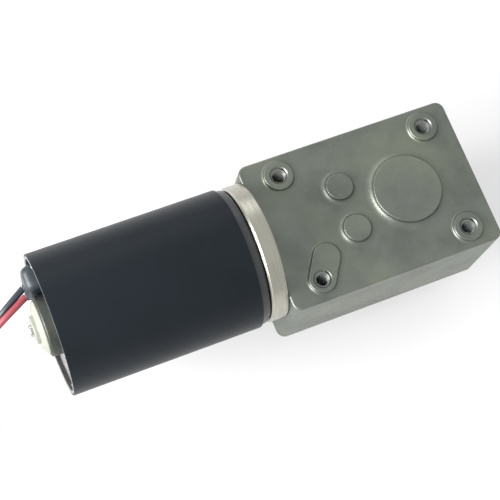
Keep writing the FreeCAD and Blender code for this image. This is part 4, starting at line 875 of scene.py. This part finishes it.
def armature_shaft():
    """The ground shaft, with a centre hole in each end."""
    low, high = span("armature_shaft")
    step = span("armature_core")[0].x - 10
    seat = span("worm")[0].x - 0.4
    hole_bottom = 0.06
    rear_radius = 1.6
    shaft_radius = 2.5
    worm_seat_radius = 1.2
    turned_piece("armature_shaft_ground", [
        (low.x + 0.9, hole_bottom, 0),
        (low.x, 0.6, 0.05),
        (low.x, rear_radius, 0.22),
        (step, rear_radius, 0.05),
        (step, shaft_radius, 0.15),
        (seat, shaft_radius, 0.4),
        (seat, worm_seat_radius, 0.05),
        (high.x, worm_seat_radius, 0.15),
        (high.x, 0.45, 0.04),
        (high.x - 0.7, hole_bottom, 0),
    ], "steel", ["armature_shaft"], body="armature", sides=72, finish="ground_steel")


# ---- everything that keeps its CAD shape -----------------------------------------------------------------

def dress_cad_nodes():
    """Gives every CAD node the material of its slot."""
    slots = {item["node"]: item["material_slot"] for item in frame["record"]["subparts"]}
    for name, node in frame["nodes"].items():
        node.data.materials.clear()
        node.data.materials.append(MATERIALS[slots[name]])


# ---- floor and light -------------------------------------------------------------------------------------

def floor():
    """A plain pale floor just under the lowest point."""
    mesh = bpy.data.meshes.new("floor")
    half = 3.0
    height = floor_height - 0.1 * MM
    mesh.from_pydata(
        [(-half, -half, height), (half, -half, height), (half, half, height), (-half, half, height)],
        [], [(0, 1, 2, 3)])
    finish = Finish("floor", 0.0, 0.8, (0.60, 0.60, 0.60))
    cloud = finish.noise(0.4, detail=2)
    finish.set("Base Color", finish.tint(cloud, (0.59, 0.59, 0.59), (0.61, 0.61, 0.61)))
    finish.shader.inputs["Emission Color"].default_value = (1, 1, 1, 1)
    finish.shader.inputs["Emission Strength"].default_value = 0.22
    mesh.materials.append(finish.material)
    piece = bpy.data.objects.new("floor", mesh)
    bpy.context.scene.collection.objects.link(piece)


def softbox(name, place, aim, width, height, power):
    data = bpy.data.lights.new(name, "AREA")
    data.shape = "RECTANGLE"
    data.size = width
    data.size_y = height
    data.energy = power
    light = bpy.data.objects.new(name, data)
    bpy.context.scene.collection.objects.link(light)
    light.location = place
    light.rotation_mode = "QUATERNION"
    light.rotation_quaternion = (Vector(aim) - Vector(place)).to_track_quat("-Z", "Y")


def studio():
    """One main soft light from the motor's side, a weak one from behind, and an even pale surrounding."""
    aim = point(-40, 0, 15)
    softbox("left_light", (-0.77, -0.03, 0.30), aim, width=0.6, height=0.5, power=16.0)
    softbox("back_light", (-0.15, 0.75, 0.42), aim, width=0.9, height=0.4, power=1.4)
    world = bpy.data.worlds.new("studio")
    world.use_nodes = True
    nodes = world.node_tree.nodes
    links = world.node_tree.links
    background = nodes["Background"]
    coordinates = nodes.new("ShaderNodeTexCoord")
    split = nodes.new("ShaderNodeSeparateXYZ")
    ramp = nodes.new("ShaderNodeValToRGB")
    horizon, zenith = ramp.color_ramp.elements
    horizon.position = 0.0
    horizon.color = (0.68, 0.68, 0.68, 1)
    zenith.position = 1.0
    zenith.color = (0.78, 0.80, 0.79, 1)
    links.new(coordinates.outputs["Generated"], split.inputs["Vector"])
    links.new(split.outputs["Z"], ramp.inputs["Fac"])
    links.new(ramp.outputs["Color"], background.inputs["Color"])
    background.inputs["Strength"].default_value = 1.1
    bpy.context.scene.world = world
    bpy.context.scene.view_settings.view_transform = "Standard"


make_camera()
make_lead("red_lead_wire", RED_ROUTE, "red")
make_lead("black_lead_wire", BLACK_ROUTE, "black")
dress_cad_nodes()
corner_threads()
boss_flares()
adapter_ring()
motor_can()
motor_sleeve()
end_plate()
rear_cap()
staked_tabs()
lead_boot()
wound_coils()
armature_shaft()
floor()
studio()
